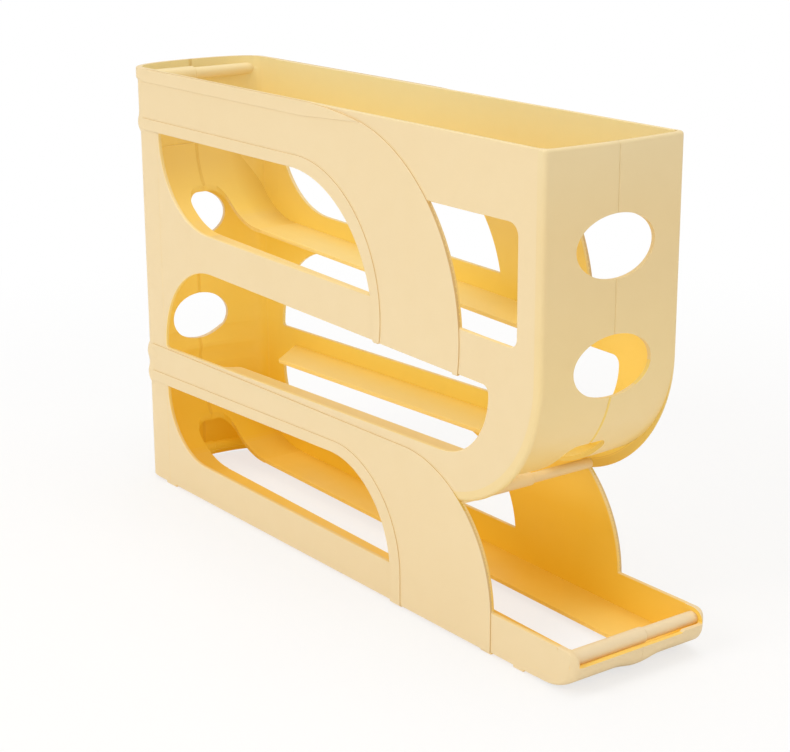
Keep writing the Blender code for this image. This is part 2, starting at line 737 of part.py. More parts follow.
RODS = [
    Rod("top", BACK_X + TOP_ROD_SETBACK, HEIGHT - TOP_ROD_DROP, TOP_ROD_RADIUS, TOP_SOCKET_RADIUS, TOP_MOUTH),
    Rod("tray", NOSE_X - WALL - 2 * CLEARANCE - TRAY_SOCKET_RADIUS, TRAY_ROD_HEIGHT, TRAY_ROD_RADIUS,
        TRAY_SOCKET_RADIUS, TRAY_MOUTH),
    Rod("back", BACK_X + BACK_ROD_SETBACK, BACK_ROD_HEIGHT, BACK_ROD_RADIUS, BACK_SOCKET_RADIUS, BACK_MOUTH),
    Rod("turn", TURN_X + TURN_ROD_FORWARD, TURN_Z - TURN_RADIUS - TURN_ROD_DROP - TURN_SOCKET_RADIUS,
        TURN_ROD_RADIUS, TURN_SOCKET_RADIUS, TURN_MOUTH),
]


def make_socket(rod, cavity):
    """Right part of a rod, with the bore that takes the left part's peg."""
    bore = PEG_RADIUS + CLEARANCE
    depth = rod.mouth - PEG_LENGTH - BORE_SPARE
    name = "right_" + rod.name + "_socket"
    socket = turned(name, [(-PANEL_OUT, 0), (-PANEL_OUT, rod.socket_radius), (rod.mouth, rod.socket_radius),
                           (rod.mouth, bore), (depth, bore), (depth, 0)], rod.x, rod.z, name)
    trim(socket, cavity, 'INTERSECT')
    return socket


def make_peg(rod, cavity):
    """Left part of a rod, with its peg."""
    start = rod.mouth + CLEARANCE
    tip = rod.mouth - PEG_LENGTH
    name = "left_" + rod.name + "_peg"
    peg = turned(name, [(tip, 0), (tip, PEG_RADIUS), (start, PEG_RADIUS), (start, rod.rod_radius),
                        (PANEL_OUT, rod.rod_radius), (PANEL_OUT, 0)], rod.x, rod.z, name)
    trim(peg, cavity, 'INTERSECT')
    return peg


# Assembly

def make_half(prefix, side, tools):
    """All the parts of one half except its cross rods."""
    cavity = tools["cavity"]
    return [
        make_side_panel(prefix + "side_panel", side),
        make_band(prefix + "upper_band", side, upper_band_outline()),
        make_band(prefix + "lower_band", side, lower_band_outline()),
        make_back_wall(prefix + "back_wall", side, tools["back_eyes"]),
        make_front_wall(prefix + "front_wall", side, tools["front_eyes"]),
        make_front_turn(prefix + "front_turn", side, tools["front_eyes"][1], tools["turn_slot"]),
        make_chute(prefix + "upper_chute", side, upper_rail_z, cavity, tools["chute_slot"]),
        make_chute(prefix + "lower_chute", side, lower_rail_z, cavity, tools["chute_slot"]),
        make_rail(prefix + "upper_rail", side, upper_rail_z, upper_rail_outline()),
        make_rail(prefix + "middle_rail", side, middle_rail_z, middle_rail_outline()),
        make_rail(prefix + "lower_rail", side, lower_rail_z, lower_rail_outline()),
        make_tray_nose(prefix + "tray_nose", side, tools["nose_profile"], tools["nose_hollow"], tools["lip"]),
    ]


def make_tools():
    """The cutters, shared by both halves."""
    back_start = BACK_X - OVERRUN
    back_end = BACK_X + BACK_DEPTH
    front_start = TURN_X + TURN_RADIUS / 2
    front_end = FRONT_X + OVERRUN
    slot_start = BACK_X + WALL + CHUTE_SLOT_SETBACK
    inner_profile = make_nose_profile("nose_inner_cutter", WALL, TRAY_HEIGHT + OVERRUN, 0)
    return {
        "cavity": make_cavity(),
        "chute_slot": make_slot_cutter("chute_slot_cutter", slot_start, CHUTE_X + OVERRUN),
        "turn_slot": make_slot_cutter("turn_slot_cutter", FRONT_X - TURN_SLOT_SETBACK, TURN_X - OVERRUN),
        "back_eyes": [make_eye_cutter("back_upper_eye_cutter", back_start, back_end,
                                      HEIGHT - BACK_UPPER_EYE_DROP, BACK_EYE_WIDTH, BACK_EYE_HEIGHT),
                      make_eye_cutter("back_lower_eye_cutter", back_start, back_end,
                                      HEIGHT - BACK_LOWER_EYE_DROP, BACK_EYE_WIDTH, BACK_EYE_HEIGHT)],
        "front_eyes": [make_eye_cutter("front_upper_eye_cutter", front_start, front_end,
                                       HEIGHT - FRONT_UPPER_EYE_DROP, FRONT_EYE_WIDTH, FRONT_EYE_HEIGHT),
                       make_eye_cutter("front_lower_eye_cutter", front_start, front_end,
                                       HEIGHT - FRONT_LOWER_EYE_DROP, FRONT_EYE_WIDTH, FRONT_EYE_HEIGHT)],
        "nose_profile": make_nose_profile("nose_outer_cutter", 0, TRAY_HEIGHT, TRAY_NOSE_TOP_ROUND),
        "nose_hollow": make_nose_hollow(inner_profile),
        "lip": make_lip_cutter(),
    }


def main():
    for item in list(bpy.data.objects):
        bpy.data.objects.remove(item)
    tools = make_tools()
    make_half("right_", -1, tools)
    left = make_half("left_", 1, tools)
    for rod in RODS:
        make_socket(rod, tools["cavity"])
        left.append(make_peg(rod, tools["cavity"]))
    slide = bpy.data.objects.new("left_half_slide", None)
    bpy.context.scene.collection.objects.link(slide)
    slide.location = (0, 0, HEIGHT / 2)
    for item in left:
        item.parent = slide
        item.location = -slide.location


main()
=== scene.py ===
# Rolling egg dispenser: the looks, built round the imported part
import math
import bpy
from mathutils import Matrix, Vector


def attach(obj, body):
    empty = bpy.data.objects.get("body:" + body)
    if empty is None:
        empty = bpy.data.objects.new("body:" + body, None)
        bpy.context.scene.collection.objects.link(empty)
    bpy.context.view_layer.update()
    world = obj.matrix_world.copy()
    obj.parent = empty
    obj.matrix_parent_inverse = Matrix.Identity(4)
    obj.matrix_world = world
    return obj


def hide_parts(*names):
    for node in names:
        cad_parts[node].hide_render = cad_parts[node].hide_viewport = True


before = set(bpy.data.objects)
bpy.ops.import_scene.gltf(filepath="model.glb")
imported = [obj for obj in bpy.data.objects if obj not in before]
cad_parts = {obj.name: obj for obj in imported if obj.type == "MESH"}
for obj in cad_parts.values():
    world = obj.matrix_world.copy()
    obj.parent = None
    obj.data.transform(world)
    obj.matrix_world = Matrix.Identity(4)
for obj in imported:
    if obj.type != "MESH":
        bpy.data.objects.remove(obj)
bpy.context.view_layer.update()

# camera: the photograph's place, turn and lens
cameraSet = {
    "place": (0.6245165, -0.4615195, 0.3115269),
    "right": (0.597907, 0.8015557, -0.0039648),
    "up": (-0.2262915, 0.1735393, 0.958476),
    "back": (0.7689599, -0.5721823, 0.2851456),
    "lens": 85.9285,
    "sensor": 36.0,
    "shiftX": 0.00093,
    "shiftY": -0.00167,
    "near": 0.01,
    "far": 20,
}


def setCamera():
    turn = Matrix([cameraSet[axis] for axis in ("right", "up", "back")]).transposed()
    bpy.ops.object.camera_add(location=cameraSet["place"])
    camera = bpy.context.object
    camera.name = "photo_camera"
    camera.rotation_euler = turn.to_euler()
    camera.data.sensor_width = cameraSet["sensor"]
    camera.data.sensor_fit = "HORIZONTAL"
    camera.data.lens = cameraSet["lens"]
    camera.data.shift_x = cameraSet["shiftX"]
    camera.data.shift_y = cameraSet["shiftY"]
    camera.data.clip_start = cameraSet["near"]
    camera.data.clip_end = cameraSet["far"]
    bpy.context.scene.camera = camera


setCamera()
print("camera set")

# a bright pale room: white for the camera, soft for the object
lightSet = {
    "worldStrength": 0.60,
    "worldColour": (1.0, 0.985, 0.965, 1.0),
    "aim": (0.0, 0.0, 0.08),
    "lamps": (
        # name, place, size, power, colour
        ("key_left", (-0.2, -1.6, 1.3), 1.2, 12.2, (1.0, 0.985, 0.96)),
        ("fill_front", (1.6, -0.2, 0.9), 1.2, 2.9, (1.0, 0.86, 0.72)),
        ("top_soft", (0.0, 0.2, 1.8), 1.4, 10.0, (1.0, 0.99, 0.97)),
    ),
}


def addNode(tree, kind, inputs=(), **settings):
    # a shader node with its settings; each input is set to a value or linked to a socket
    node = tree.nodes.new("ShaderNode" + kind)
    for key, value in settings.items():
        setattr(node, key, value)
    for key, value in dict(inputs).items():
        if isinstance(value, bpy.types.NodeSocket):
            tree.links.new(value, node.inputs[key])
        else:
            node.inputs[key].default_value = value
    return node


def setWorld():
    world = bpy.data.worlds.new("pale_room")
    bpy.context.scene.world = world
    world.use_nodes = True
    tree = world.node_tree
    tree.nodes.clear()
    path = addNode(tree, "LightPath").outputs["Is Camera Ray"]
    room = addNode(tree, "Background", {"Color": lightSet["worldColour"], "Strength": lightSet["worldStrength"]})
    white = addNode(tree, "Background", {"Color": (1, 1, 1, 1), "Strength": 1})
    mix = addNode(tree, "MixShader", {0: path, 1: room.outputs[0], 2: white.outputs[0]})
    addNode(tree, "OutputWorld", {"Surface": mix.outputs[0]})


def addLamps():
    for name, place, size, power, colour in lightSet["lamps"]:
        bpy.ops.object.light_add(type="AREA", location=place)
        lamp = bpy.context.object
        lamp.name = name
        lamp.data.shape = "DISK"
        lamp.data.size = size
        lamp.data.energy = power
        lamp.data.color = colour
        aim = Vector(lightSet["aim"]) - Vector(place)
        lamp.rotation_euler = aim.to_track_quat("-Z", "Y").to_euler()


setWorld()
addLamps()
bpy.context.scene.view_settings.view_transform = "Standard"
print("room and lamps set")

# the moulding's shared sizes, in metres; the left half is built at +Y and copied over for the right one
body = {
    "height": 0.200,
    "foot": 0.0009,            # underside of the side plates above the floor
    "wall": 0.0018,
    "out": 0.0340,             # outer face of a side plate
    "inner": 0.0322,           # its inner face
    "seam": 0.00003,           # half the gap between the two halves
    "lap": 0.00003,            # how far a lapping skin stands over a plate
    "backX": -0.144,           # where the round back starts
    "frontX": 0.1379,          # outer face of the front wall at its sides
    "noseX": 0.160,
    "plateX": -0.1437,         # back edge of the side plates and their bands
    "postX": -0.131,           # back edge of the windows
    "windowTop": 0.1717,
    "slotHalf": 0.0104,        # half the width of the slot down the middle, which all levels share
    "edge": 0.0005,            # rounding of the plates' edges
    "hair": 0.0001,            # slack when edges are picked by their place
    "rootY": 0.0330,           # how far chutes and rails reach into the side plates
}
height, wall, seam, lap, plateX = (body[key] for key in ("height", "wall", "seam", "lap", "plateX"))
# faces of the sheets that lap over and under the side plates
skin, under = body["out"] + lap, body["inner"] - lap


def slopingLine(level, slope):
    # line of the side view, by its height at the middle and its rise per metre forward
    return lambda x: level + slope * x


def besideLine(line, backValue, frontValue):
    # line over or under another one, by their distance at the back and at the front of the windows
    backX, length = body["postX"], body["frontX"] - body["postX"]
    return lambda x: line(x) + (backValue + (frontValue - backValue) * ((x - backX) / length))


upperRailZ = slopingLine(0.1191, -0.0341)
middleRailZ = slopingLine(0.0650, 0.0283)
lowerRailZ = slopingLine(0.0055, -0.0183)
upperSillZ = besideLine(upperRailZ, 0.0074, 0.0108)
upperHeaderZ = besideLine(upperRailZ, -0.0102, -0.0075)
middleSillZ = besideLine(middleRailZ, 0.0081, 0.0081)
middleHeaderZ = besideLine(middleRailZ, -0.0106, -0.0106)
lowerSillZ = besideLine(lowerRailZ, 0.0104, 0.0138)

# circles of the side view: centre x, centre z, radius
circles = {
    "upperBand": (0.0126, 0.1195, 0.0785),
    "upperArch": (-0.0208, 0.1142, 0.0575),
    "upperStrip": (-0.0165, 0.1190, 0.0581),
    "lowerBand": (0.0565, 0.0153, 0.0550),
    "lowerArch": (0.0064, 0.01348, 0.0411),
    "lowerStrip": (0.0090, 0.0145, 0.0452),
    "flange": (0.0784, 0.1152, 0.0595),
    "turn": (0.0884, 0.1152, 0.0495),
}


def arc(circle, start, end, step=3):
    # points along a circle, between two angles in degrees
    x, z, radius = circle
    count = max(2, math.ceil(abs(end - start) / step))
    angles = [math.radians(start + (end - start) * i / count) for i in range(count + 1)]
    return [(x + radius * math.cos(a), z + radius * math.sin(a)) for a in angles]


def crossing(circle, line):
    # front crossing of a circle with a gently sloping line, as x, z and the angle in degrees
    x, z, radius = circle
    atX = x + radius
    for _ in range(12):
        atX = x + math.sqrt(radius ** 2 - (line(atX) - z) ** 2)
    return atX, line(atX), math.degrees(math.atan2(line(atX) - z, atX - x))


def roundOutline(corners, fine=0.0009):
    # outline through (u, v, radius) corners, each turned with its own radius as far as its edges allow
    count = len(corners)
    points = [Vector(c[:2]) for c in corners]
    angles = [(points[i - 1] - points[i]).angle(points[(i + 1) % count] - points[i]) for i in range(count)]
    reach = [corner[2] / math.tan(angle / 2) for corner, angle in zip(corners, angles)]
    for i in range(count):
        after = (i + 1) % count
        length = (points[after] - points[i]).length
        used = reach[i] + reach[after]
        if used > length:
            reach[i] *= length / used
            reach[after] *= length / used
    outline = []
    for i, point in enumerate(points):
        before = (points[i - 1] - point).normalized()
        after = (points[(i + 1) % count] - point).normalized()
        half = before.angle(after) / 2
        radius = reach[i] * math.tan(half)
        if radius < 1e-7:
            outline.append(tuple(point))
            continue
        centre = point + (before + after).normalized() * (radius / math.sin(half))
        first = point + before * reach[i] - centre
        sweep = first.angle_signed(point + after * reach[i] - centre)
        steps = max(4, math.ceil(abs(sweep) * radius / fine))
        for k in range(steps + 1):
            turn = -sweep * k / steps
            outline.append((
                centre.x + first.x * math.cos(turn) - first.y * math.sin(turn),
                centre.y + first.x * math.sin(turn) + first.y * math.cos(turn),
            ))
    return thinned(outline)


def thinned(points, least=0.00015):
    kept = []
    for point in points:
        if not kept or math.dist(point, kept[-1]) > least:
            kept.append(point)
    if math.dist(kept[0], kept[-1]) <= least:
        kept.pop()
    return kept


def quarter(count):
    # angles of a quarter turn, in equal steps
    return [math.pi / 2 * i / count for i in range(count + 1)]


def easeBetween(value, low, high):
    share = min(1.0, max(0.0, (value - low) / (high - low)))
    return share * share * (3 - 2 * share)


# modelling steps used by every piece
weldDistance = 0.000002


def onlyActive(piece):
    bpy.ops.object.select_all(action="DESELECT")
    piece.select_set(True)
    bpy.context.view_layer.objects.active = piece


def inEditMode(piece, *steps):
    onlyActive(piece)
    bpy.ops.object.mode_set(mode="EDIT")
    for step in steps:
        step()
    bpy.ops.object.mode_set(mode="OBJECT")


def selectAll():
    bpy.ops.mesh.select_all(action="SELECT")


def selectNone():
    bpy.ops.mesh.select_all(action="DESELECT")


def addSlab(name, outline, place, grow):
    # a filled circle whose points are set on the outline, then extruded
    bpy.ops.mesh.primitive_circle_add(vertices=len(outline), fill_type="NGON")
    slab = bpy.context.object
    slab.name = name
    for vertex, point in zip(slab.data.vertices, outline):
        vertex.co = place(*point)
    inEditMode(
        slab, selectAll, lambda: bpy.ops.mesh.extrude_region_move(TRANSFORM_OT_translate={"value": grow}),
        selectAll, bpy.ops.mesh.normals_make_consistent)
    return slab


def addLoft(name, sections):
    # a grid whose rows are set on the sections, closed round and capped at both ends
    columns = len(sections[0]) + 1
    bpy.ops.mesh.primitive_grid_add(x_subdivisions=columns - 1, y_subdivisions=len(sections) - 1)
    loft = bpy.context.object
    loft.name = name
    for i, vertex in enumerate(loft.data.vertices):
        row, column = divmod(i, columns)
        vertex.co = sections[row][column % (columns - 1)]
    inEditMode(
        loft, selectAll, lambda: bpy.ops.mesh.remove_doubles(threshold=weldDistance), selectNone,
        bpy.ops.mesh.select_non_manifold, lambda: bpy.ops.mesh.fill_holes(sides=0),
        selectAll, bpy.ops.mesh.normals_make_consistent)
    return loft


def cut(piece, *cutters, operation="DIFFERENCE"):
    # each cutter is used up
    for cutter in cutters:
        onlyActive(piece)
        step = piece.modifiers.new("cut", "BOOLEAN")
        step.object = cutter
        step.operation = operation
        step.solver = "EXACT"
        bpy.ops.object.modifier_apply(modifier=step.name)
        bpy.data.objects.remove(cutter)


def bevelEdges(piece, width, wanted=lambda middle: True, sharp=30):
    # round the sharp edges whose middle is wanted
    mesh = piece.data
    faces = {}
    for polygon in mesh.polygons:
        for key in polygon.edge_keys:
            faces.setdefault(key, []).append(polygon.normal.copy())
    picked = []
    for edge in mesh.edges:
        normals = faces.get(edge.key, [])
        first, last = (mesh.vertices[v].co for v in edge.vertices)
        if len(normals) == 2 and math.degrees(normals[0].angle(normals[1], 0)) >= sharp:
            if wanted((first + last) / 2):
                picked.append(edge.index)
    inEditMode(piece, lambda: bpy.ops.mesh.select_mode(type="EDGE"), selectNone)
    for index in picked:
        piece.data.edges[index].select = True
    inEditMode(piece, lambda: bpy.ops.mesh.bevel(offset=width, segments=3, profile=0.5,
                                                 affect="EDGES", clamp_overlap=False))


def flipSide(piece):
    piece.data.transform(Matrix.Scale(-1, 4, (0, 1, 0)))
    piece.data.flip_normals()


def smoothPiece(piece):
    onlyActive(piece)
    bpy.ops.object.shade_smooth_by_angle(angle=math.radians(40))
    weigh = piece.modifiers.new("weigh", "WEIGHTED_NORMAL")
    weigh.keep_sharp = True
    weigh.mode = "FACE_AREA"
    bpy.ops.object.modifier_apply(modifier=weigh.name)


def sideSlab(name, outline, innerY, outerY):
    # plate of the left half, standing along the XZ plane
    return addSlab(name, outline, lambda x, z: (x, innerY, z), (0, outerY - innerY, 0))


def planSlab(name, outline, lowZ, highZ):
    return addSlab(name, outline, lambda x, y: (x, y, lowZ), (0, 0, highZ - lowZ))


# side plate: a flat wall with four windows, its tray side and its small feet
plateSet = {
    "frontInset": 0.0029,      # it stops short of the rounded front edge, which laps over it
    "trayHeight": 0.0177,
    "toe": 0.0005,             # how far its foot and its top run on under the tray nose
    "heel": 0.0002,
    "frontPostX": 0.1239,
    "middleFrontX": 0.1081,
    "small": 0.0015,
    "archRounds": {"upperArch": 0.040, "lowerArch": 0.033},
    "frontRounds": (0.0035, 0.005),
    "middleRounds": (0.029, 0.0035, 0.043),
    "cutY": (0.030, 0.036),
    "feet": ((-0.1359, 0.009), (0.0475, 0.0065), (0.10495, 0.0065), (0.12465, 0.006)),
}


def meetingAngles():
    # angles at which the lower band's circle meets the shrunken flange circle
    bandX, bandZ, bandR = circles["lowerBand"]
    flangeX, flangeZ, flangeR = circles["flange"]
    flangeR -= plateSet["frontInset"]
    span = math.hypot(flangeX - bandX, flangeZ - bandZ)
    reach = (span ** 2 + bandR ** 2 - flangeR ** 2) / (2 * span)
    aside = math.sqrt(bandR ** 2 - reach ** 2)
    ux, uz = (flangeX - bandX) / span, (flangeZ - bandZ) / span
    x = bandX + reach * ux + aside * uz
    z = bandZ + reach * uz - aside * ux
    return (math.degrees(math.atan2(z - bandZ, x - bandX)),
            math.degrees(math.atan2(z - flangeZ, x - flangeX)))


def bandFootAngle():
    # where the lower band's circle comes down to the tray's side
    _, z, radius = circles["lowerBand"]
    return math.degrees(math.asin((plateSet["trayHeight"] - z) / radius))


def plateOutline():
    foot = body["foot"]
    points = [(plateX, foot)]
    for start, length in plateSet["feet"]:
        points += [(start, foot), (start, 0), (start + length, 0), (start + length, foot)]
    inset = [(x + nx * noseSet["inset"], z + nz * noseSet["inset"]) for x, z, nx, nz, _ in nosePath()]
    toeX = inset[-1][0] + plateSet["toe"]
    points += [(toeX, foot)] + [q for q in reversed(inset) if q[0] > toeX]
    points += [(inset[0][0] + plateSet["heel"], plateSet["trayHeight"])]
    onBand, onFlange = meetingAngles()
    points += arc(circles["lowerBand"], bandFootAngle(), onBand, 1.2)
    flangeX, flangeZ, flangeR = circles["flange"]
    points += arc((flangeX, flangeZ, flangeR - plateSet["frontInset"]), onFlange, 0, 2)[1:]
    top = height - lap
    return thinned(points + [(body["frontX"] - plateSet["frontInset"], top), (plateX, top)])


def archedWindow(name, topLine, sillLine):
    arch, postX = circles[name], body["postX"]
    endX, endZ, foot = crossing(arch, sillLine)
    corners = roundOutline([
        (arch[0], arch[1] + arch[2], 0), (postX, topLine(postX), plateSet["small"]),
        (postX, sillLine(postX), plateSet["archRounds"][name]), (endX, endZ, 0),
    ])
    return thinned(corners + arc(arch, foot, 90, 2)[1:-1])


def frontWindow():
    band, frontX = circles["upperBand"], plateSet["frontPostX"]
    lowRound, highRound = plateSet["frontRounds"]
    footX, footZ, foot = crossing(band, upperSillZ)
    topX, topZ, top = crossing(band, lambda x: body["windowTop"])
    corners = roundOutline([
        (footX, footZ, 0), (frontX, upperSillZ(frontX), lowRound),
        (frontX, body["windowTop"], highRound), (topX, topZ, 0),
    ])
    return thinned(corners + arc(band, top, foot, 2)[1:-1])


def middleWindow():
    postX, frontX = body["postX"], plateSet["middleFrontX"]
    lowFront, highFront, highBack = plateSet["middleRounds"]
    return roundOutline([
        (postX, middleSillZ(postX), plateSet["small"]), (frontX, middleSillZ(frontX), lowFront),
        (frontX, upperHeaderZ(frontX), highFront), (postX, upperHeaderZ(postX), highBack),
    ])


def makeSidePlate():
    plate = sideSlab("sidePlate", plateOutline(), body["inner"], body["out"])
    windows = [
        archedWindow("upperArch", lambda x: body["windowTop"], upperSillZ), frontWindow(), middleWindow(),
        archedWindow("lowerArch", middleHeaderZ, lowerSillZ),
    ]
    cut(plate, *[sideSlab("windowCutter", outline, *plateSet["cutY"]) for outline in windows])
    bevelEdges(plate, body["edge"], lambda middle: middle.x < noseSet["topX"] + plateSet["heel"])
    return plate


# raised bands, with the strip that runs above and round each arch
bandSet = {
    "root": 0.0332,
    "field": 0.03455,
    "strip": 0.0350,
    "stripRoot": 0.0340,
    "edge": 0.0003,
    "stripEdge": 0.00025,
    "upperStripZ": 0.1771,
    "lowerStripRise": 0.0052,
    "sillGap": 0.0004,
    "rimZ": 0.1939,
    "rimTaperX": -0.012,
    "rimEndZ": 0.1962,
    "runOutAngle": 83,
    "runOutSteps": 12,
    "nub": 0.0006,
    "nubWidth": 0.003,
}


def rimRunOut(inset):
    # smooth end of the upper band's arc, up and back to the rim's top
    x, z, radius = circles["upperBand"]
    turn = math.radians(bandSet["runOutAngle"])
    radius -= inset
    startX, startZ = x + radius * math.cos(turn), z + radius * math.sin(turn)
    top = height - 2 * lap - inset / 4
    endX, steps = bandSet["rimTaperX"], bandSet["runOutSteps"]
    return [(startX + (endX - startX) * i / steps, startZ + (top - startZ) * (1 - (1 - i / steps) ** 2))
            for i in range(steps + 1)]


def upperBandOutline():
    arch, band = circles["upperArch"], circles["upperBand"]
    archX, archZ, archEnd = crossing(arch, upperHeaderZ)
    bandX, bandZ, bandStart = crossing(band, upperHeaderZ)
    nub, wide = bandSet["nub"], bandSet["nubWidth"]
    points = [(plateX, body["windowTop"])] + arc(arch, 90, archEnd, 2)
    points += [(archX, archZ - nub), (archX + wide, archZ - nub), (archX + wide, upperHeaderZ(archX + wide))]
    points += [(bandX - wide, upperHeaderZ(bandX - wide)), (bandX - wide, bandZ - nub), (bandX, bandZ - nub)]
    points += arc(band, bandStart, bandSet["runOutAngle"], 1.5)[:-1] + rimRunOut(0)
    return thinned(points + [(plateX, height - 2 * lap)])


def upperStripOutline():
    arch, strip = circles["upperArch"], circles["upperStrip"]
    archEnd, stripStart = crossing(arch, upperHeaderZ)[2], crossing(strip, upperHeaderZ)[2]
    return thinned([(plateX, body["windowTop"])] + arc(arch, 90, archEnd, 2)
                   + arc(strip, stripStart, 90, 2) + [(plateX, bandSet["upperStripZ"])])


def lowerBandOutline():
    arch, band = circles["lowerArch"], circles["lowerBand"]
    foot = body["foot"] + 2 * lap
    footX = band[0] + math.sqrt(band[2] ** 2 - (plateSet["trayHeight"] - band[1]) ** 2)
    points = [(plateX, middleHeaderZ(plateX))] + arc(arch, 90, 0, 3)
    points += [(arch[0] + arch[2], foot), (footX, foot)] + arc(band, bandFootAngle(), 90, 1.5)
    return thinned(points + [(plateX, middleSillZ(plateX) - bandSet["sillGap"])])


def lowerStripOutline():
    arch, strip = circles["lowerArch"], circles["lowerStrip"]
    foot = body["foot"]
    points = [(plateX, middleHeaderZ(plateX))] + arc(arch, 90, 0, 3)
    points += [(arch[0] + arch[2], foot), (strip[0] + strip[2], foot)] + arc(strip, 0, 90, 3)
    return thinned(points + [(plateX, middleHeaderZ(plateX) + bandSet["lowerStripRise"])])


def rimStripOutline():
    # it tapers out along the band's round end
    z, inset = bandSet["rimZ"], 4 * lap
    x, middleZ, radius = circles["upperBand"]
    radius -= inset
    end = math.degrees(math.asin((bandSet["rimEndZ"] - middleZ) / radius))
    runOut = rimRunOut(inset)
    return thinned([(plateX, z), (bandSet["rimTaperX"], z)]
                   + arc((x, middleZ, radius), end, bandSet["runOutAngle"], 2)[:-1] + runOut
                   + [(plateX, runOut[-1][1])])


def makeBand(name, field, strips):
    band = sideSlab(name, field, bandSet["root"], bandSet["field"])
    bevelEdges(band, bandSet["edge"], lambda middle: middle.y > bandSet["root"] + body["hair"])
    for outline in strips:
        strip = sideSlab("strip", outline, bandSet["stripRoot"], bandSet["strip"])
        bevelEdges(strip, bandSet["stripEdge"], lambda middle: middle.y > bandSet["stripRoot"] + body["hair"])
        onlyActive(band)
        strip.select_set(True)
        bpy.ops.object.join()
    return band


# front: wall, rounded edge and the turn below it, as one sheet
frontSet = {
    "round": 0.0019,           # upright corner between the side and the front
    "flangeRound": 0.0016,     # the same edge once it stands clear as the flange
    "partAngle": 14,           # degrees of turn over which flange and sheet part
    "crown": 0.0015,
    "crownHalf": 0.031,
    "lapStart": 0.0040,
    "rimSlope": 0.02,
    "flangeRootY": 0.0328,
    "turnRootY": 0.0334,
    "topRound": 0.0014,
    "topInnerRound": 0.0003,
    "cornerRound": 0.0015,
    "groove": 0.0003,          # softened edge at the seam
    "columns": 16,
    "eyeWidth": 0.0386,
    "eyeHeight": 0.0244,
    "eyes": (0.1618, 0.1166),
    "eyeCut": (0.11, 0.15),
    "slotX": (0.1276, 0.08),
    "slotRound": 0.005,
    "slotZ": (0.05, 0.11),
}


def crown(y):
    return frontSet["crown"] * max(0.0, 1 - (y / frontSet["crownHalf"]) ** 2)


def frontRow(z, turnAngle, topOut, topIn):
    # one closed section of the front sheet; topOut and topIn draw its faces in at the rim
    cosine, sine = math.cos(turnAngle), math.sin(turnAngle)

    def onCircle(name, outward, y):
        x, _, radius = circles[name]
        return (x + (radius + outward) * cosine, y, z - (radius + outward) * sine)

    def flange(inward, y):
        return onCircle("flange", -inward, y)

    def sheet(outward, y):
        return onCircle("turn", outward, y)

    def blend(first, second, share):
        return tuple(a + (b - a) * share for a, b in zip(first, second))

    apart = easeBetween(math.degrees(turnAngle), 0, frontSet["partAngle"])
    fade = 1 - turnAngle / (math.pi / 2)
    radius = frontSet["round"] + (frontSet["flangeRound"] - frontSet["round"]) * apart
    lapStart, columns, cornerRound = frontSet["lapStart"], frontSet["columns"], frontSet["cornerRound"]
    rootY, turnRootY = frontSet["flangeRootY"], frontSet["turnRootY"]
    points = [flange(lapStart, skin - topOut * 0.3)]
    for turn in quarter(8):
        points.append(flange(radius * (1 - math.sin(turn)) + topOut * math.sin(turn),
                             skin - radius * (1 - math.cos(turn)) - topOut * math.cos(turn) * 0.6))
    edge = points[-1]
    rimIn = min(lapStart, frontSet["rimSlope"] * turnAngle)
    points += [blend(edge, flange(rimIn, under), apart), blend(edge, flange(rimIn, rootY), apart),
               blend(edge, sheet(0, rootY), apart)]
    startY = edge[1] + (body["inner"] - edge[1]) * apart
    for i in range(columns):
        y = startY * (1 - i / columns) + frontSet["groove"] * i / columns
        points.append(sheet(crown(y) * fade - topOut, y))
    groove = frontSet["groove"] + frontSet["groove"] * apart
    outer, inner = crown(0) * fade - topOut, crown(0) * fade - wall + topIn
    points += [sheet(outer, groove), sheet(outer - groove * 0.8, seam), sheet(inner, seam)]
    endY = (under - cornerRound) + (turnRootY - under + cornerRound) * apart
    for y in [endY * i / columns for i in range(1, columns + 1)]:
        points.append(sheet(crown(y) * fade - wall + topIn, y))
    for turn in quarter(3)[1:]:
        corner = flange(wall - topIn + cornerRound * (1 - math.cos(turn)),
                        under - topIn - cornerRound * (1 - math.sin(turn)))
        points.append(blend(corner, sheet(-wall, turnRootY), apart))
    points.append(blend(flange(lapStart, under), flange(lapStart, turnRootY), apart))
    return points


def cutEyes(sheet, settings):
    # elliptical holes through an upright sheet, on the seam
    startX, endX = settings["eyeCut"]
    wide, high = settings["eyeWidth"] / 2, settings["eyeHeight"] / 2
    turns = [2 * math.pi * i / 72 for i in range(72)]
    for z in settings["eyes"]:
        outline = [(wide * math.cos(t), z + high * math.sin(t)) for t in turns]
        cut(sheet, addSlab("eyeCutter", outline, lambda y, level: (startX, y, level), (endX - startX, 0, 0)))


def cutSlot(sheet, settings):
    # the middle slot, from its round end to its open one
    (start, end), half = settings["slotX"], body["slotHalf"]
    cut(sheet, planSlab("slotCutter", roundOutline([
        (start, half, settings["slotRound"]), (start, -half, settings["slotRound"]),
        (end, -half, 0), (end, half, 0)]), *settings["slotZ"]))


def makeFrontSheet():
    radius, inner = frontSet["topRound"], frontSet["topInnerRound"]
    turnZ, high = circles["turn"][1], height - radius
    rows = [frontRow(height - radius * (1 - math.cos(turn)), 0, radius * (1 - math.sin(turn)),
                     inner * max(0, 1 - 2 * i / 6)) for i, turn in enumerate(quarter(6))]
    rows += [frontRow(high + (turnZ - high) * i / 12, 0, 0, 0) for i in range(1, 13)]
    rows += [frontRow(turnZ, math.radians(90 * i / 36), 0, 0) for i in range(1, 37)]
    sheet = addLoft("frontSheet", rows)
    cutEyes(sheet, frontSet)
    cutSlot(sheet, frontSet)
    return sheet


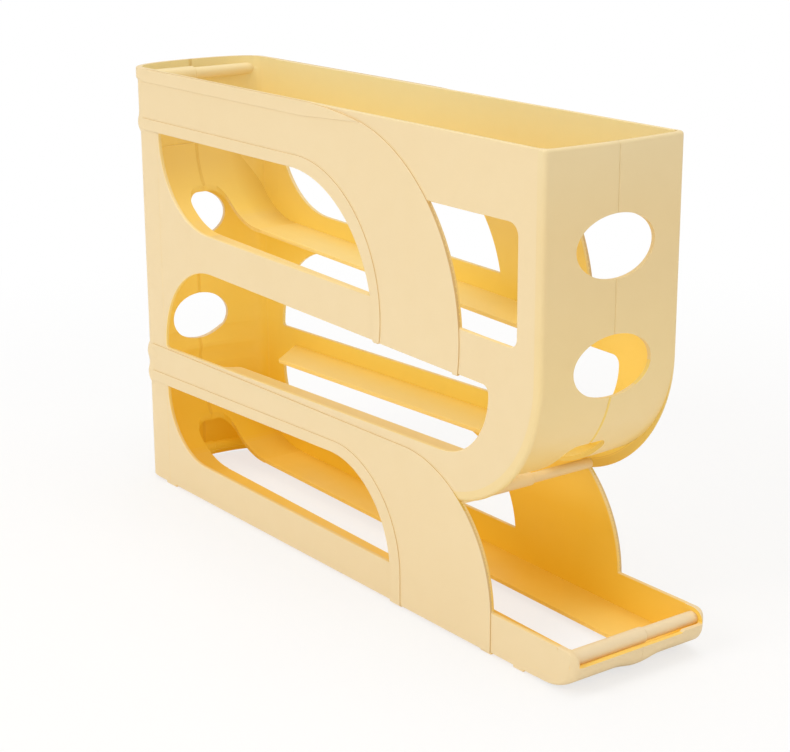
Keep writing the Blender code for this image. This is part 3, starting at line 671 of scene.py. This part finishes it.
# rounded back wall with its beads
backSet = {
    "depth": 0.014,
    "power": 2.4,
    "proud": 0.0020,
    "sideProud": 0.00096,
    "bandProud": 0.00055,
    "hollow": 0.0011,
    "groove": 0.0009,          # half the width of the seam's groove on the inside
    "grooveDepth": 0.0004,
    "seamRound": 0.0003,
    "stations": 26,
    "beads": ((0.04866, 0.05766), (0.05926, 0.06826), (0.1699, 0.1789)),
    "beadPower": 0.8,
    "rimZ": 0.194,
    "rimRise": 0.0012,
    "rimPower": 0.6,
    "bandZones": ((0.0503, 0.0665), (0.1717, 0.2001)),
    "bandX": -0.1425,
    # x and share of the beads' height, where they run out on the side
    "fades": ((-0.1322, 0.0), (-0.134, 0.15), (-0.138, 0.5), (-0.1420, 0.85), (-0.1425, 0.9)),
    "plainLevels": (0.02, 0.035, 0.09, 0.11, 0.13, 0.15, 0.186),
    "eyeWidth": 0.0310,
    "eyeHeight": 0.0232,
    "eyes": (0.1250, 0.0742),
    "eyeCut": (-0.165, -0.144),
}


def backPoint(halfWidth, depth, turn):
    power = 2 / backSet["power"]
    return (body["backX"] - depth * math.sin(turn) ** power, halfWidth * max(0.0, math.cos(turn)) ** power)


def beadShare(z):
    for low, high in backSet["beads"]:
        if low < z < high:
            return math.sin(math.pi * (z - low) / (high - low)) ** backSet["beadPower"]
    rim = backSet["rimZ"]
    if z > rim:
        return min(1.0, (z - rim) / backSet["rimRise"]) ** backSet["rimPower"]
    return 0.0


def inBand(z):
    return any(low < z < high for low, high in backSet["bandZones"])


def backRow(z, drawnIn):
    share = beadShare(z)
    raised = backSet["bandProud"] if inBand(z) else 0.0
    depth, hollow = backSet["depth"], backSet["hollow"] * share
    turns = quarter(backSet["stations"])[:-1]
    points = []
    for x, fade in backSet["fades"]:
        band = raised if x <= backSet["bandX"] else 0.0
        points.append((x, skin + max(backSet["sideProud"] * share * fade, band) - drawnIn, z))
    for turn in turns:
        side = max(backSet["sideProud"] * share, raised * math.cos(turn))
        x, y = backPoint(skin + side - drawnIn, depth + backSet["proud"] * share - drawnIn, turn)
        points.append((x, max(y, backSet["seamRound"]), z))
    tip = body["backX"] - depth - backSet["proud"] * share + drawnIn
    innerTip = body["backX"] - depth - hollow + wall
    points += [(tip, 0.0002, z), (tip + 0.0002, seam, z),
               (innerTip - backSet["grooveDepth"], seam, z), (innerTip, backSet["groove"], z)]
    points += [(*backPoint(under, depth + hollow - wall, turn), z) for turn in reversed(turns)]
    return points + [(backSet["fades"][0][0], under, z)]


def makeBackWall():
    foot, rim = body["foot"], backSet["rimZ"]
    stops = [z for zone in backSet["bandZones"] for edge in zone for z in (edge - 0.00015, edge + 0.00015)]
    for low, high in backSet["beads"]:
        stops += [low + (high - low) * i / 12 for i in range(13)]
    stops += [rim + backSet["rimRise"] * i / 6 for i in range(7)]
    stops += backSet["plainLevels"]
    # level and how far it is drawn in there, which rounds the foot and the rim
    levels = [(foot, 0.0005), (foot + 0.0002, 0.0002), (foot + 0.0005, 0)]
    levels += [(z, 0) for z in sorted(stops) if z < height - 0.001]
    levels += [(height - 0.0006, 0), (height - 0.0003, 0.0001), (height - 0.0001, 0.0003), (height, 0.0006)]
    back = addLoft("backWall", [backRow(z, drawnIn) for z, drawnIn in levels])
    cutEyes(back, backSet)
    return back


# chutes: curved sheets from the back wall down to a rail
chuteSet = {
    "x": -0.1169,
    "radius": 0.0390,
    "slotX": (-0.1486, -0.10),
    "slotRound": 0.0068,
    "slotZ": (-0.01, 0.21),
    "groove": 0.0009,
    "grooveDepth": 0.0004,
    "roomX": -0.110,
    "roomY": 0.0332,
    "roomMargin": 0.0006,      # how far the room reaches into the round back's wall
    "overlap": 0.001,
}


def makeRoom():
    # the space inside the round back, with a little of its wall
    frontX, margin, past = chuteSet["roomX"], chuteSet["roomMargin"], -chuteSet["overlap"]
    halfWidth, depth = body["inner"] + margin, backSet["depth"] - wall + margin
    inside = [(frontX, chuteSet["roomY"]), (frontX, past)]
    for i in range(21):
        x, y = backPoint(halfWidth, depth, math.pi / 2 * (1 - i / 20))
        inside.append((x, max(y, past)))
    return planSlab("room", thinned(inside), 0, height)


def makeChute(name, railZ):
    x, outer, rootY = chuteSet["x"], chuteSet["radius"], body["rootY"]
    inner = outer - wall
    centreZ = railZ(x) + inner
    section = ((seam, outer), (rootY, outer), (rootY, inner), (chuteSet["groove"], inner),
               (seam, inner + chuteSet["grooveDepth"]))
    turns = [math.radians(180 + 90 * i / 30) for i in range(31)]
    chute = addLoft(name, [
        [(x + r * math.cos(turn), y, centreZ + r * math.sin(turn)) for y, r in section] for turn in turns])
    cut(chute, makeRoom(), operation="INTERSECT")
    cutSlot(chute, chuteSet)
    return chute


# rails: sloping ledges on each side of the middle slot
railSet = {
    "tip": 0.003,
    "edge": 0.0004,
    # line of its top, back end, front end, and how far each end slants; a straight end meets a sheet
    "upper": (upperRailZ, -0.1172, 0.0985, 0, 0.0187),
    "middle": (middleRailZ, -0.1212, 0.0890, 0.0187, 0),
    "lower": (lowerRailZ, -0.1172, 0.1440, 0, 0),
}


def makeRail(level):
    # only the free edges are rounded
    half, root = body["slotHalf"], body["rootY"]
    railZ, start, end, backSlant, frontSlant = railSet[level]
    outline = roundOutline([
        (start + backSlant, half, railSet["tip"] if backSlant else 0),
        (end - frontSlant, half, railSet["tip"] if frontSlant else 0), (end, root, 0), (start, root, 0)])
    joints = [x for x, slant in ((start, backSlant), (end, frontSlant)) if not slant]
    rail = addSlab(level + "Rail", outline, lambda x, y: (x, y, railZ(x)), (0, 0, -wall))
    bevelEdges(rail, railSet["edge"], lambda middle: middle.y < root - 2 * body["hair"]
               and min(abs(middle.x - x) for x in joints) > 3 * body["hair"])
    return rail


# tray nose: one rounded shell round the front of the tray, cut open above its lip
noseSet = {
    "backX": 0.1370,
    "topX": 0.1500,
    "height": 0.0177,
    "lap": 0.0040,
    "inset": 0.0034,           # the side plate ends this far inside the nose's outline
    "topRound": 0.006,
    "footDepth": 0.0180,
    "footHeight": 0.0108,
    "rounds": (0.0007, 0.0045, 0.0008),
    "slack": 0.0003,
    "leastInner": 0.0004,
    "columns": 14,
    "lipHeight": 0.0118,
    "slotEnd": 0.0205,
    "slotEndHeight": 0.0125,
    "slotRounds": (0.0015, 0.0008),
    "cutX": (0.13, 0.17),
    "cheekX": (0.1535, 0.1545),
    "cheekRound": 0.001,
    "pastY": -0.01,
    "openTop": 0.03,
    "floorStart": 0.1385,
    "floorCut": (-0.01, 0.006),
    "cornerY": 0.0316,
    "boss": 0.0015,            # how far the lip sags at the seam, low on its front
    "bossReach": {"right": 0.0100, "left": 0.0130},
}


def nosePath():
    # outline in side view, from the top back end round to the foot: x, z, inward x, inward z, round
    endX, topZ, foot = body["noseX"], noseSet["height"], body["foot"]
    topRound, depth, rise = noseSet["topRound"], noseSet["footDepth"], noseSet["footHeight"]
    topR, frontR, footR = noseSet["rounds"]
    stations = [(noseSet["topX"] + (endX - topRound - noseSet["topX"]) * i / 4, topZ, 0, -1, topR)
                for i in range(5)]
    for i in range(1, 17):
        turn = math.radians(90 - 90 * i / 16)
        share = easeBetween(i, 3, 16)
        stations.append((endX - topRound + topRound * math.cos(turn), topZ - topRound + topRound * math.sin(turn),
                         -math.cos(turn), -math.sin(turn), topR + (frontR - topR) * share))
    for i in range(25):
        turn = math.radians(-90 * i / 24)
        nx, nz = -rise * math.cos(turn), -depth * math.sin(turn)
        length = math.hypot(nx, nz)
        stations.append((endX - depth + depth * math.cos(turn), foot + rise + rise * math.sin(turn),
                         nx / length, nz / length, frontR + (footR - frontR) * easeBetween(i, 0, 20)))
    for i in range(1, 3):
        stations.append((endX - depth + (noseSet["backX"] - endX + depth) * i / 2, foot, 0, 1, footR))
    return stations


def noseRow(x, z, nx, nz, radius, bossReach):
    # one closed section of the nose, as depths under its skin and places across it
    columns, slack = noseSet["columns"], noseSet["slack"]
    slope = math.degrees(math.atan2(nz, -nx))
    sag = noseSet["boss"] * easeBetween(slope, 5, 30) * (1 - easeBetween(slope, 50, 80))
    reach, inner = max(noseSet["lap"], radius + slack), max(radius - wall, noseSet["leastInner"])
    startY, endY = skin - radius, under - inner
    section = [(reach, skin)]
    section += [(radius * (1 - math.sin(turn)), skin - radius * (1 - math.cos(turn))) for turn in quarter(8)]
    section += [(0, startY + (slack - startY) * i / columns) for i in range(1, columns + 1)]
    section += [(0.0001, seam), (wall, seam)]
    section += [(wall, endY * i / columns) for i in range(1, columns + 1)]
    section += [(wall + inner * (1 - math.cos(turn)), under - inner * (1 - math.sin(turn)))
                for turn in quarter(6)[1:]]
    section.append((reach, under))
    return [(x + nx * d, y, z + nz * d - (sag * (1 - easeBetween(y, 0.001, bossReach)) if d < wall / 2 else 0))
            for d, y in section]


def makeNose(half):
    nose = addLoft("trayNose", [noseRow(*station, noseSet["bossReach"][half]) for station in nosePath()])
    (backX, frontX), pastY, cornerY = noseSet["cutX"], noseSet["pastY"], noseSet["cornerY"]
    lip, top, floorX = noseSet["lipHeight"], noseSet["openTop"], noseSet["floorStart"]
    if half == "right":
        (cheekBack, cheekFront), bend = noseSet["cheekX"], noseSet["cheekRound"]
        opening = planSlab("opening", roundOutline([
            (backX, pastY, 0), (frontX, pastY, 0), (frontX, cornerY, 0), (cheekFront, cornerY, bend),
            (cheekBack, under, bend), (backX, under, 0)]), lip, top)
    else:
        end, high, (bend, small) = noseSet["slotEnd"], noseSet["slotEndHeight"], noseSet["slotRounds"]
        opening = addSlab("opening", roundOutline([
            (pastY, lip, 0), (end, lip, bend), (end + bend, high, small), (cornerY, high, small),
            (cornerY, top, 0), (pastY, top, 0)], 0.0004), lambda y, z: (backX, y, z), (frontX - backX, 0, 0))
    cut(nose, opening, planSlab("floorOpening", [
        (backX, pastY), (floorX, pastY), (floorX, body["slotHalf"]), (backX, body["slotHalf"])],
        *noseSet["floorCut"]))
    return nose


# cross rods: a thick socket on the right half, a plain rod with its peg on the left one
rodSet = {
    "pegRadius": 0.0015,
    "pegLength": 0.010,
    "clearance": 0.0002,
    "play": 0.002,
    "overlap": 0.001,
    "pegRoot": 0.003,
    "sides": 64,
    "edge": 0.0004,
    "cornerX": (-0.18, -0.11),
    "cornerY": (0.012, 0.05),
    "rods": {
        # x, z, rod radius, socket radius, where the socket's mouth lies, where each end is rooted
        "top": (-0.1520, 0.1940, 0.0028, 0.0035, -0.0020, 0.0312),
        "tray": (0.1538, 0.0132, 0.0027, 0.0032, 0.0050, 0.0326),
        "back": (-0.1495, 0.0075, 0.0023, 0.0030, 0.0010, 0.0322),
        "turn": (0.0929, 0.0595, 0.0021, 0.0027, 0.0010, 0.0330),
    },
}


def addRound(name, x, z, radius, startY, endY, edge):
    # cylinder lying along Y with softened ends
    bpy.ops.mesh.primitive_cylinder_add(
        vertices=rodSet["sides"], radius=radius, depth=abs(endY - startY),
        location=(x, (startY + endY) / 2, z), rotation=(math.pi / 2, 0, 0))
    rod = bpy.context.object
    rod.name = name
    bpy.ops.object.transform_apply(location=True, rotation=True, scale=True)
    if edge:
        bevelEdges(rod, edge, sharp=60)
    return rod


def trimRod(rod, name, side):
    # at the round back the rods' ends follow the wall
    if name not in ("top", "back"):
        return
    (backX, frontX), (lowY, highY) = rodSet["cornerX"], rodSet["cornerY"]
    corners = planSlab("corners", [(backX, lowY), (frontX, lowY), (frontX, highY), (backX, highY)],
                       *chuteSet["slotZ"])
    cut(corners, makeRoom())
    if side < 0:
        flipSide(corners)
    cut(rod, corners)


def makeSocket(name):
    x, z, _, radius, mouth, root = rodSet["rods"][name]
    socket = addRound(name + "Socket", x, z, radius, -root, mouth, rodSet["edge"])
    cut(socket, addRound("bore", x, z, rodSet["pegRadius"] + rodSet["clearance"],
                         mouth - rodSet["pegLength"] - rodSet["play"], mouth + rodSet["overlap"], 0))
    trimRod(socket, name, -1)
    return socket


def makePeg(name):
    x, z, radius, _, mouth, root = rodSet["rods"][name]
    edge = rodSet["edge"]
    rod = addRound(name + "Rod", x, z, radius, mouth + rodSet["clearance"], root, edge)
    peg = addRound("peg", x, z, rodSet["pegRadius"], mouth - rodSet["pegLength"], mouth + rodSet["pegRoot"], edge)
    cut(rod, peg, operation="UNION")
    trimRod(rod, name, 1)
    return rod


plasticSet = {
    "outer": (0.880, 0.705, 0.420, 1),
    "edgeHighlight": (0.930, 0.790, 0.560, 1),
    "creaseShade": (0.620, 0.370, 0.060, 1),
    "roughness": (0.37, 0.45),
    "paleShare": 0.82,         # the painted amber bounce light fades to this share towards the tray's front
    "paleX": (0.09, 0.16),
    "edgeHighlightShare": 0.55,
    "creaseY": (0.018, 0.032),
    "cloudTint": (0.96, 0.93, 0.88, 1),
    "mottleTint": (0.97, 0.95, 0.90, 1),
    # for faces turned to the inside: painted amber bounce light, deeper and darker low down as painted shade, and
    # a painted glow
    "inside": (
        # share of the height, colour of painted bounce light and shade, colour of painted glow
        (0.18, (0.780, 0.525, 0.060, 1), (0.190, 0.100, 0.002, 1)),
        (0.36, (0.850, 0.640, 0.180, 1), (0.200, 0.145, 0.014, 1)),
        (0.58, (0.860, 0.635, 0.165, 1), (0.200, 0.140, 0.010, 1)),
        (0.76, (0.800, 0.585, 0.190, 1), (0.120, 0.085, 0.013, 1)),
        (0.84, (0.800, 0.585, 0.190, 1), (0.120, 0.085, 0.013, 1)),
        (1.00, (0.845, 0.720, 0.380, 1), (0.030, 0.030, 0.010, 1)),
    ),
    "cloudScale": 16.0,
    "cloudShare": 0.30,
    "mottleScale": 130.0,
    "mottleShare": 0.16,
    "mottleHeight": 0.35,
    "grainScale": 1500.0,
    "grainRough": 0.04,
    "bump": 0.10,
    "bumpDistance": 0.0002,
    "ior": 1.46,
}


def plasticWithPaintedLight():
    # shared group: faces turned inwards get painted amber bounce light and shade, graded by height, and a painted
    # glow; bevels get a painted highlight, creases painted shade; clouds and grain on top
    group = bpy.data.node_groups.new("plasticWithPaintedLight", "ShaderNodeTree")
    for name in ("Colour", "Glow", "Roughness", "Height"):
        kind = "NodeSocketColor" if name in ("Colour", "Glow") else "NodeSocketFloat"
        group.interface.new_socket(name, in_out="OUTPUT", socket_type=kind)
    place = addNode(group, "TexCoord").outputs["Object"]

    def maths(operation, *values):
        return addNode(group, "Math", enumerate(values), operation=operation).outputs["Value"]

    def noise(scale, detail):
        return addNode(group, "TexNoise", {"Vector": place, "Scale": scale, "Detail": detail}).outputs["Fac"]

    def attribute(name):
        return addNode(group, "Attribute", attribute_name=name).outputs["Fac"]

    def ranged(value, low, high, fromLow=0.3, fromHigh=0.7):
        return addNode(group, "MapRange", {"Value": value, "From Min": fromLow, "From Max": fromHigh,
                                           "To Min": low, "To Max": high}).outputs["Result"]

    def mixed(factor, first, second, blend="MIX"):
        # inputs 0, 6 and 7 and output 2 are the ones that a colour mix uses
        return addNode(group, "Mix", {0: factor, 6: first, 7: second}, data_type="RGBA",
                       blend_type=blend).outputs[2]

    def graded(value, stops):
        node = addNode(group, "ValToRGB", {"Fac": value})
        ramp = node.color_ramp.elements
        while len(ramp) < len(stops):
            ramp.new(0.5)
        for element, (position, colour) in zip(ramp, stops):
            element.position = position
            element.color = colour
        return node.outputs["Color"]

    look = plasticSet
    cloud, mottle = noise(look["cloudScale"], 3.0), noise(look["mottleScale"], 4.0)
    grain = noise(look["grainScale"], 2.0)
    axes = addNode(group, "SeparateXYZ", {"Vector": place})
    rise = ranged(axes.outputs["Z"], 0.0, 1.0, 0.0, height)
    bounceTint = graded(rise, [(share, colour) for share, colour, _ in look["inside"]])
    # painted glow: the plastic emits it in place of light through and between its walls
    glowRamp = graded(rise, [(share, light) for share, _, light in look["inside"]])
    # painted amber bounce light on inward faces, paler towards the tray's front
    bounceShare = maths("MULTIPLY", attribute("inward"),
                  ranged(axes.outputs["X"], 1.0, look["paleShare"], *look["paleX"]))
    # painted shade in creases, deeper towards the side walls
    corner = maths("MULTIPLY", attribute("creaseShade"),
                   ranged(maths("ABSOLUTE", axes.outputs["Y"]), 0.0, 1.0, *look["creaseY"]))
    base = mixed(bounceShare, look["outer"], bounceTint)
    # painted highlight along bevelled edges, and over the tray rod
    base = mixed(ranged(attribute("rim"), 0.0, look["edgeHighlightShare"], 0.0, 1.0), base, look["edgeHighlight"])
    base = mixed(corner, base, look["creaseShade"])
    # values over 1 give deeper painted shade, in the seam's groove
    base = mixed(ranged(attribute("creaseShade"), 0.0, 1.0, 1.0, 2.0), base, look["creaseShade"])
    base = mixed(ranged(cloud, 0.0, look["cloudShare"]), base, look["cloudTint"], "MULTIPLY")
    base = mixed(ranged(mottle, 0.0, look["mottleShare"]), base, look["mottleTint"], "MULTIPLY")
    out = group.nodes.new("NodeGroupOutput")
    for name, value in (
        ("Colour", base),
        ("Glow", mixed(attribute("glow"), (0.0, 0.0, 0.0, 1), glowRamp)),
        ("Roughness", maths("ADD", ranged(mottle, *look["roughness"]), ranged(grain, 0.0, look["grainRough"]))),
        ("Height", maths("MULTIPLY_ADD", mottle, look["mottleHeight"], grain)),
    ):
        group.links.new(value, out.inputs[name])
    return group


def plasticMaterial():
    material = bpy.data.materials.new("butterPlastic")
    material.use_nodes = True
    tree = material.node_tree
    shader = tree.nodes["Principled BSDF"]
    surface = addNode(tree, "Group", node_tree=plasticWithPaintedLight()).outputs
    bump = addNode(tree, "Bump", {"Strength": plasticSet["bump"], "Distance": plasticSet["bumpDistance"],
                                  "Height": surface["Height"]})
    for value, name in ((surface["Colour"], "Base Color"), (surface["Roughness"], "Roughness"),
                        (surface["Glow"], "Emission Color"), (bump.outputs["Normal"], "Normal")):
        tree.links.new(value, shader.inputs[name])
    shader.inputs["IOR"].default_value = plasticSet["ior"]
    # the painted glow is emitted at this strength
    shader.inputs["Emission Strength"].default_value = 1
    return material


markSet = {
    "lineX": (-0.12, 0.145),   # the line down the middle that inward faces look at, and the tray's end of it
    "lineY": 0.02,
    "trayZ": 0.055,
    "facing": (0.05, 0.6),
    "lip": 0.9,
    "seamY": 0.0008,
    "backX": -0.1575,
    "bevelArea": 6e-6,
}


def markFaces(piece, look):
    # per-face masks of painted light and shade: painted amber bounce light on faces turned to the inside of the
    # rack, a painted glow, a painted highlight along an edge, painted shade in a crease
    mesh = piece.data
    names = ("inward", "rim", "glow", "creaseShade")
    for name in names:
        mesh.attributes.new(name, "FLOAT", "FACE")
    masks = {name: mesh.attributes[name].data for name in names}
    turnX, turnZ = circles["turn"][:2]
    (lineX, trayX), lineY, trayZ = markSet["lineX"], markSet["lineY"], markSet["trayZ"]
    side = 1 if piece.name.startswith("left") else -1
    for i, polygon in enumerate(mesh.polygons):
        middle, normal = polygon.center, polygon.normal
        outward = normal.y * side
        target = Vector((min(turnX, max(lineX, middle.x)), min(lineY, max(-lineY, middle.y)), middle.z))
        if middle.x > turnX and trayZ < middle.z < turnZ:
            target.z = turnZ
        elif middle.x > turnX and middle.z <= trayZ:
            target.x = min(trayX, middle.x)
        inside = easeBetween(normal.dot((target - middle).normalized()), *markSet["facing"])
        # a side plate's inner face gets full painted amber; its window reveals get less, and upward ones less
        # again, as painted light from above
        if "reveal" in look:
            inside = 1.0 if outward < 0 else 0.0
            if abs(outward) < 0.9:
                inside = look["reveal"] * (1 - 0.5 * easeBetween(normal.z, 0.1, 0.7))
        # below the turn, faces turned down get painted amber shade
        if "under" in look and middle.z < turnZ:
            inside = 1.0 if outward < -0.5 else max(inside, look["under"] * easeBetween(-normal.z, 0.05, 0.9))
        inside = look.get("all", max(inside, look.get("least", 0.0)))
        # the lip's top faces get painted amber bounce light
        if "lipTop" in look and normal.z > 0.3 and middle.z < look["lipTop"]:
            inside = markSet["lip"]
        # painted shade on the side faces of steps, and in the seam's groove
        creaseShade = look.get("creaseShade", 0.0) if abs(outward) < 0.5 else 0.0
        if abs(middle.y) < markSet["seamY"] and abs(normal.y) > 0.3 and "seam" in look:
            top, seamShade = look["seam"]
            if 0 < middle.z < top:
                inside = max(inside, 1.0)
                creaseShade = seamShade if middle.x > markSet["backX"] else 0.0
        # small bevel faces turned half outwards get a painted highlight
        bevelled = look.get("rim") and 0.3 < outward < 0.93 and polygon.area < markSet["bevelArea"]
        masks["inward"][i].value = inside
        masks["glow"][i].value = inside * look.get("glow", 1.0)
        masks["rim"][i].value = 1.0 if bevelled else look.get("highlight", 0.0)
        masks["creaseShade"][i].value = creaseShade


def mirrored(piece):
    # the same piece on the other side, with its own mesh
    onlyActive(piece)
    bpy.ops.object.duplicate()
    flipSide(bpy.context.object)
    return bpy.context.object


# per piece: how much painted amber bounce light and shade, painted glow, painted edge highlight and painted
# crease shade it gets
looks = {
    "sidePlate": {"reveal": 0.70, "rim": True, "glow": 1.05},
    "upperBandRib": {"rim": True, "glow": 0.0, "creaseShade": 0.5},
    "lowerBandRib": {"rim": True, "glow": 0.0, "creaseShade": 0.5},
    "frontSheet": {"least": 0.32, "under": 0.60, "glow": 0.35, "seam": (0.095, 0.0)},
    "roundBack": {"glow": 1.2, "seam": (0.2, 1.4)},
    "upperChuteSheet": {"least": 0.70, "glow": 0.9, "creaseShade": 0.6, "seam": (0.2, 1.4)},
    "lowerChuteSheet": {"least": 0.80, "glow": 1.0, "creaseShade": 0.4, "seam": (0.2, 1.4)},
    "upperRailLedge": {"least": 0.62, "glow": 0.9, "creaseShade": 0.25},
    "middleRailLedge": {"least": 0.60, "glow": 1.3, "creaseShade": 0.2},
    "lowerRailLedge": {"least": 0.75, "glow": 1.15, "creaseShade": 0.2},
    "right_upperRailLedge": {"least": 0.45, "glow": 0.3},
    "right_middleRailLedge": {"least": 0.45, "glow": 0.3},
    "trayCorner": {"lipTop": 0.0121},
    "top": {"all": 0.45},
    "tray": {"all": 0.0, "highlight": 0.8},
    "back": {"all": 1.0},
    "turn": {"all": 0.12},
}
butter = plasticMaterial()


def settle(piece, half, name, look, *nodes):
    piece.name = half + "_" + name
    piece.data.name = piece.name
    piece.data.materials.append(butter)
    smoothPiece(piece)
    markFaces(piece, looks.get(piece.name, looks[look]))
    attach(piece, half + "_half")
    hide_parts(*[half + "_" + node for node in nodes])


shared = [("sidePlate", makeSidePlate(), "side_panel")]
print("side plate made")
upperBand = makeBand("upperBand", upperBandOutline(), [upperStripOutline(), rimStripOutline()])
lowerBand = makeBand("lowerBand", lowerBandOutline(), [lowerStripOutline()])
shared += [("upperBandRib", upperBand, "upper_band"), ("lowerBandRib", lowerBand, "lower_band")]
print("bands made")
shared.append(("frontSheet", makeFrontSheet(), "front_wall", "front_turn"))
print("front sheet made")
shared.append(("roundBack", makeBackWall(), "back_wall"))
print("back wall made")
for level in ("upper", "lower"):
    shared.append((level + "ChuteSheet", makeChute(level + "Chute", railSet[level][0]), level + "_chute"))
for level in ("upper", "middle", "lower"):
    shared.append((level + "RailLedge", makeRail(level), level + "_rail"))
print("chutes and rails made")
for pieceName, piece, *nodes in shared:
    other = mirrored(piece)
    settle(piece, "left", pieceName, pieceName, *nodes)
    settle(other, "right", pieceName, pieceName, *nodes)
for half in ("left", "right"):
    nose = makeNose(half)
    if half == "right":
        flipSide(nose)
    settle(nose, half, "trayCorner", "trayCorner", "tray_nose")
for rodName in rodSet["rods"]:
    settle(makeSocket(rodName), "right", rodName + "Socket", rodName, rodName + "_socket")
    settle(makePeg(rodName), "left", rodName + "Rod", rodName, rodName + "_peg")
print("tray noses and rods made")


floorSet = {
    "colour": (0.93, 0.93, 0.93, 1),
    "roughness": 0.6,
    "nearShare": 0.70,         # how far the floor beside the object is lifted towards plain white
    "nearRadius": 0.22,
    "farRadius": 0.60,
    "size": 6,
    "drop": 0.0002,
    "shine": 0.2,
}


def addFloor():
    bpy.ops.mesh.primitive_plane_add(size=floorSet["size"], location=(0, 0, -floorSet["drop"]))
    floor = bpy.context.object
    floor.name = "floor"
    material = bpy.data.materials.new("paleFloor")
    material.use_nodes = True
    tree = material.node_tree
    shader = tree.nodes["Principled BSDF"]
    shader.inputs["Base Color"].default_value = floorSet["colour"]
    shader.inputs["Roughness"].default_value = floorSet["roughness"]
    shader.inputs["Specular IOR Level"].default_value = floorSet["shine"]
    place = addNode(tree, "TexCoord").outputs["Object"]
    far = addNode(tree, "VectorMath", {0: place}, operation="LENGTH").outputs["Value"]
    fade = addNode(tree, "MapRange", {
        "Value": far, "From Min": floorSet["nearRadius"], "From Max": floorSet["farRadius"],
        "To Min": floorSet["nearShare"]}, interpolation_type="SMOOTHSTEP").outputs["Result"]
    path = addNode(tree, "LightPath").outputs["Is Camera Ray"]
    seen = addNode(tree, "Math", {0: fade, 1: path}, operation="MULTIPLY").outputs["Value"]
    white = addNode(tree, "Emission", {"Strength": 1})
    mix = addNode(tree, "MixShader", {0: seen, 1: shader.outputs["BSDF"], 2: white.outputs["Emission"]})
    tree.links.new(mix.outputs["Shader"], tree.nodes["Material Output"].inputs["Surface"])
    floor.data.materials.append(material)


addFloor()
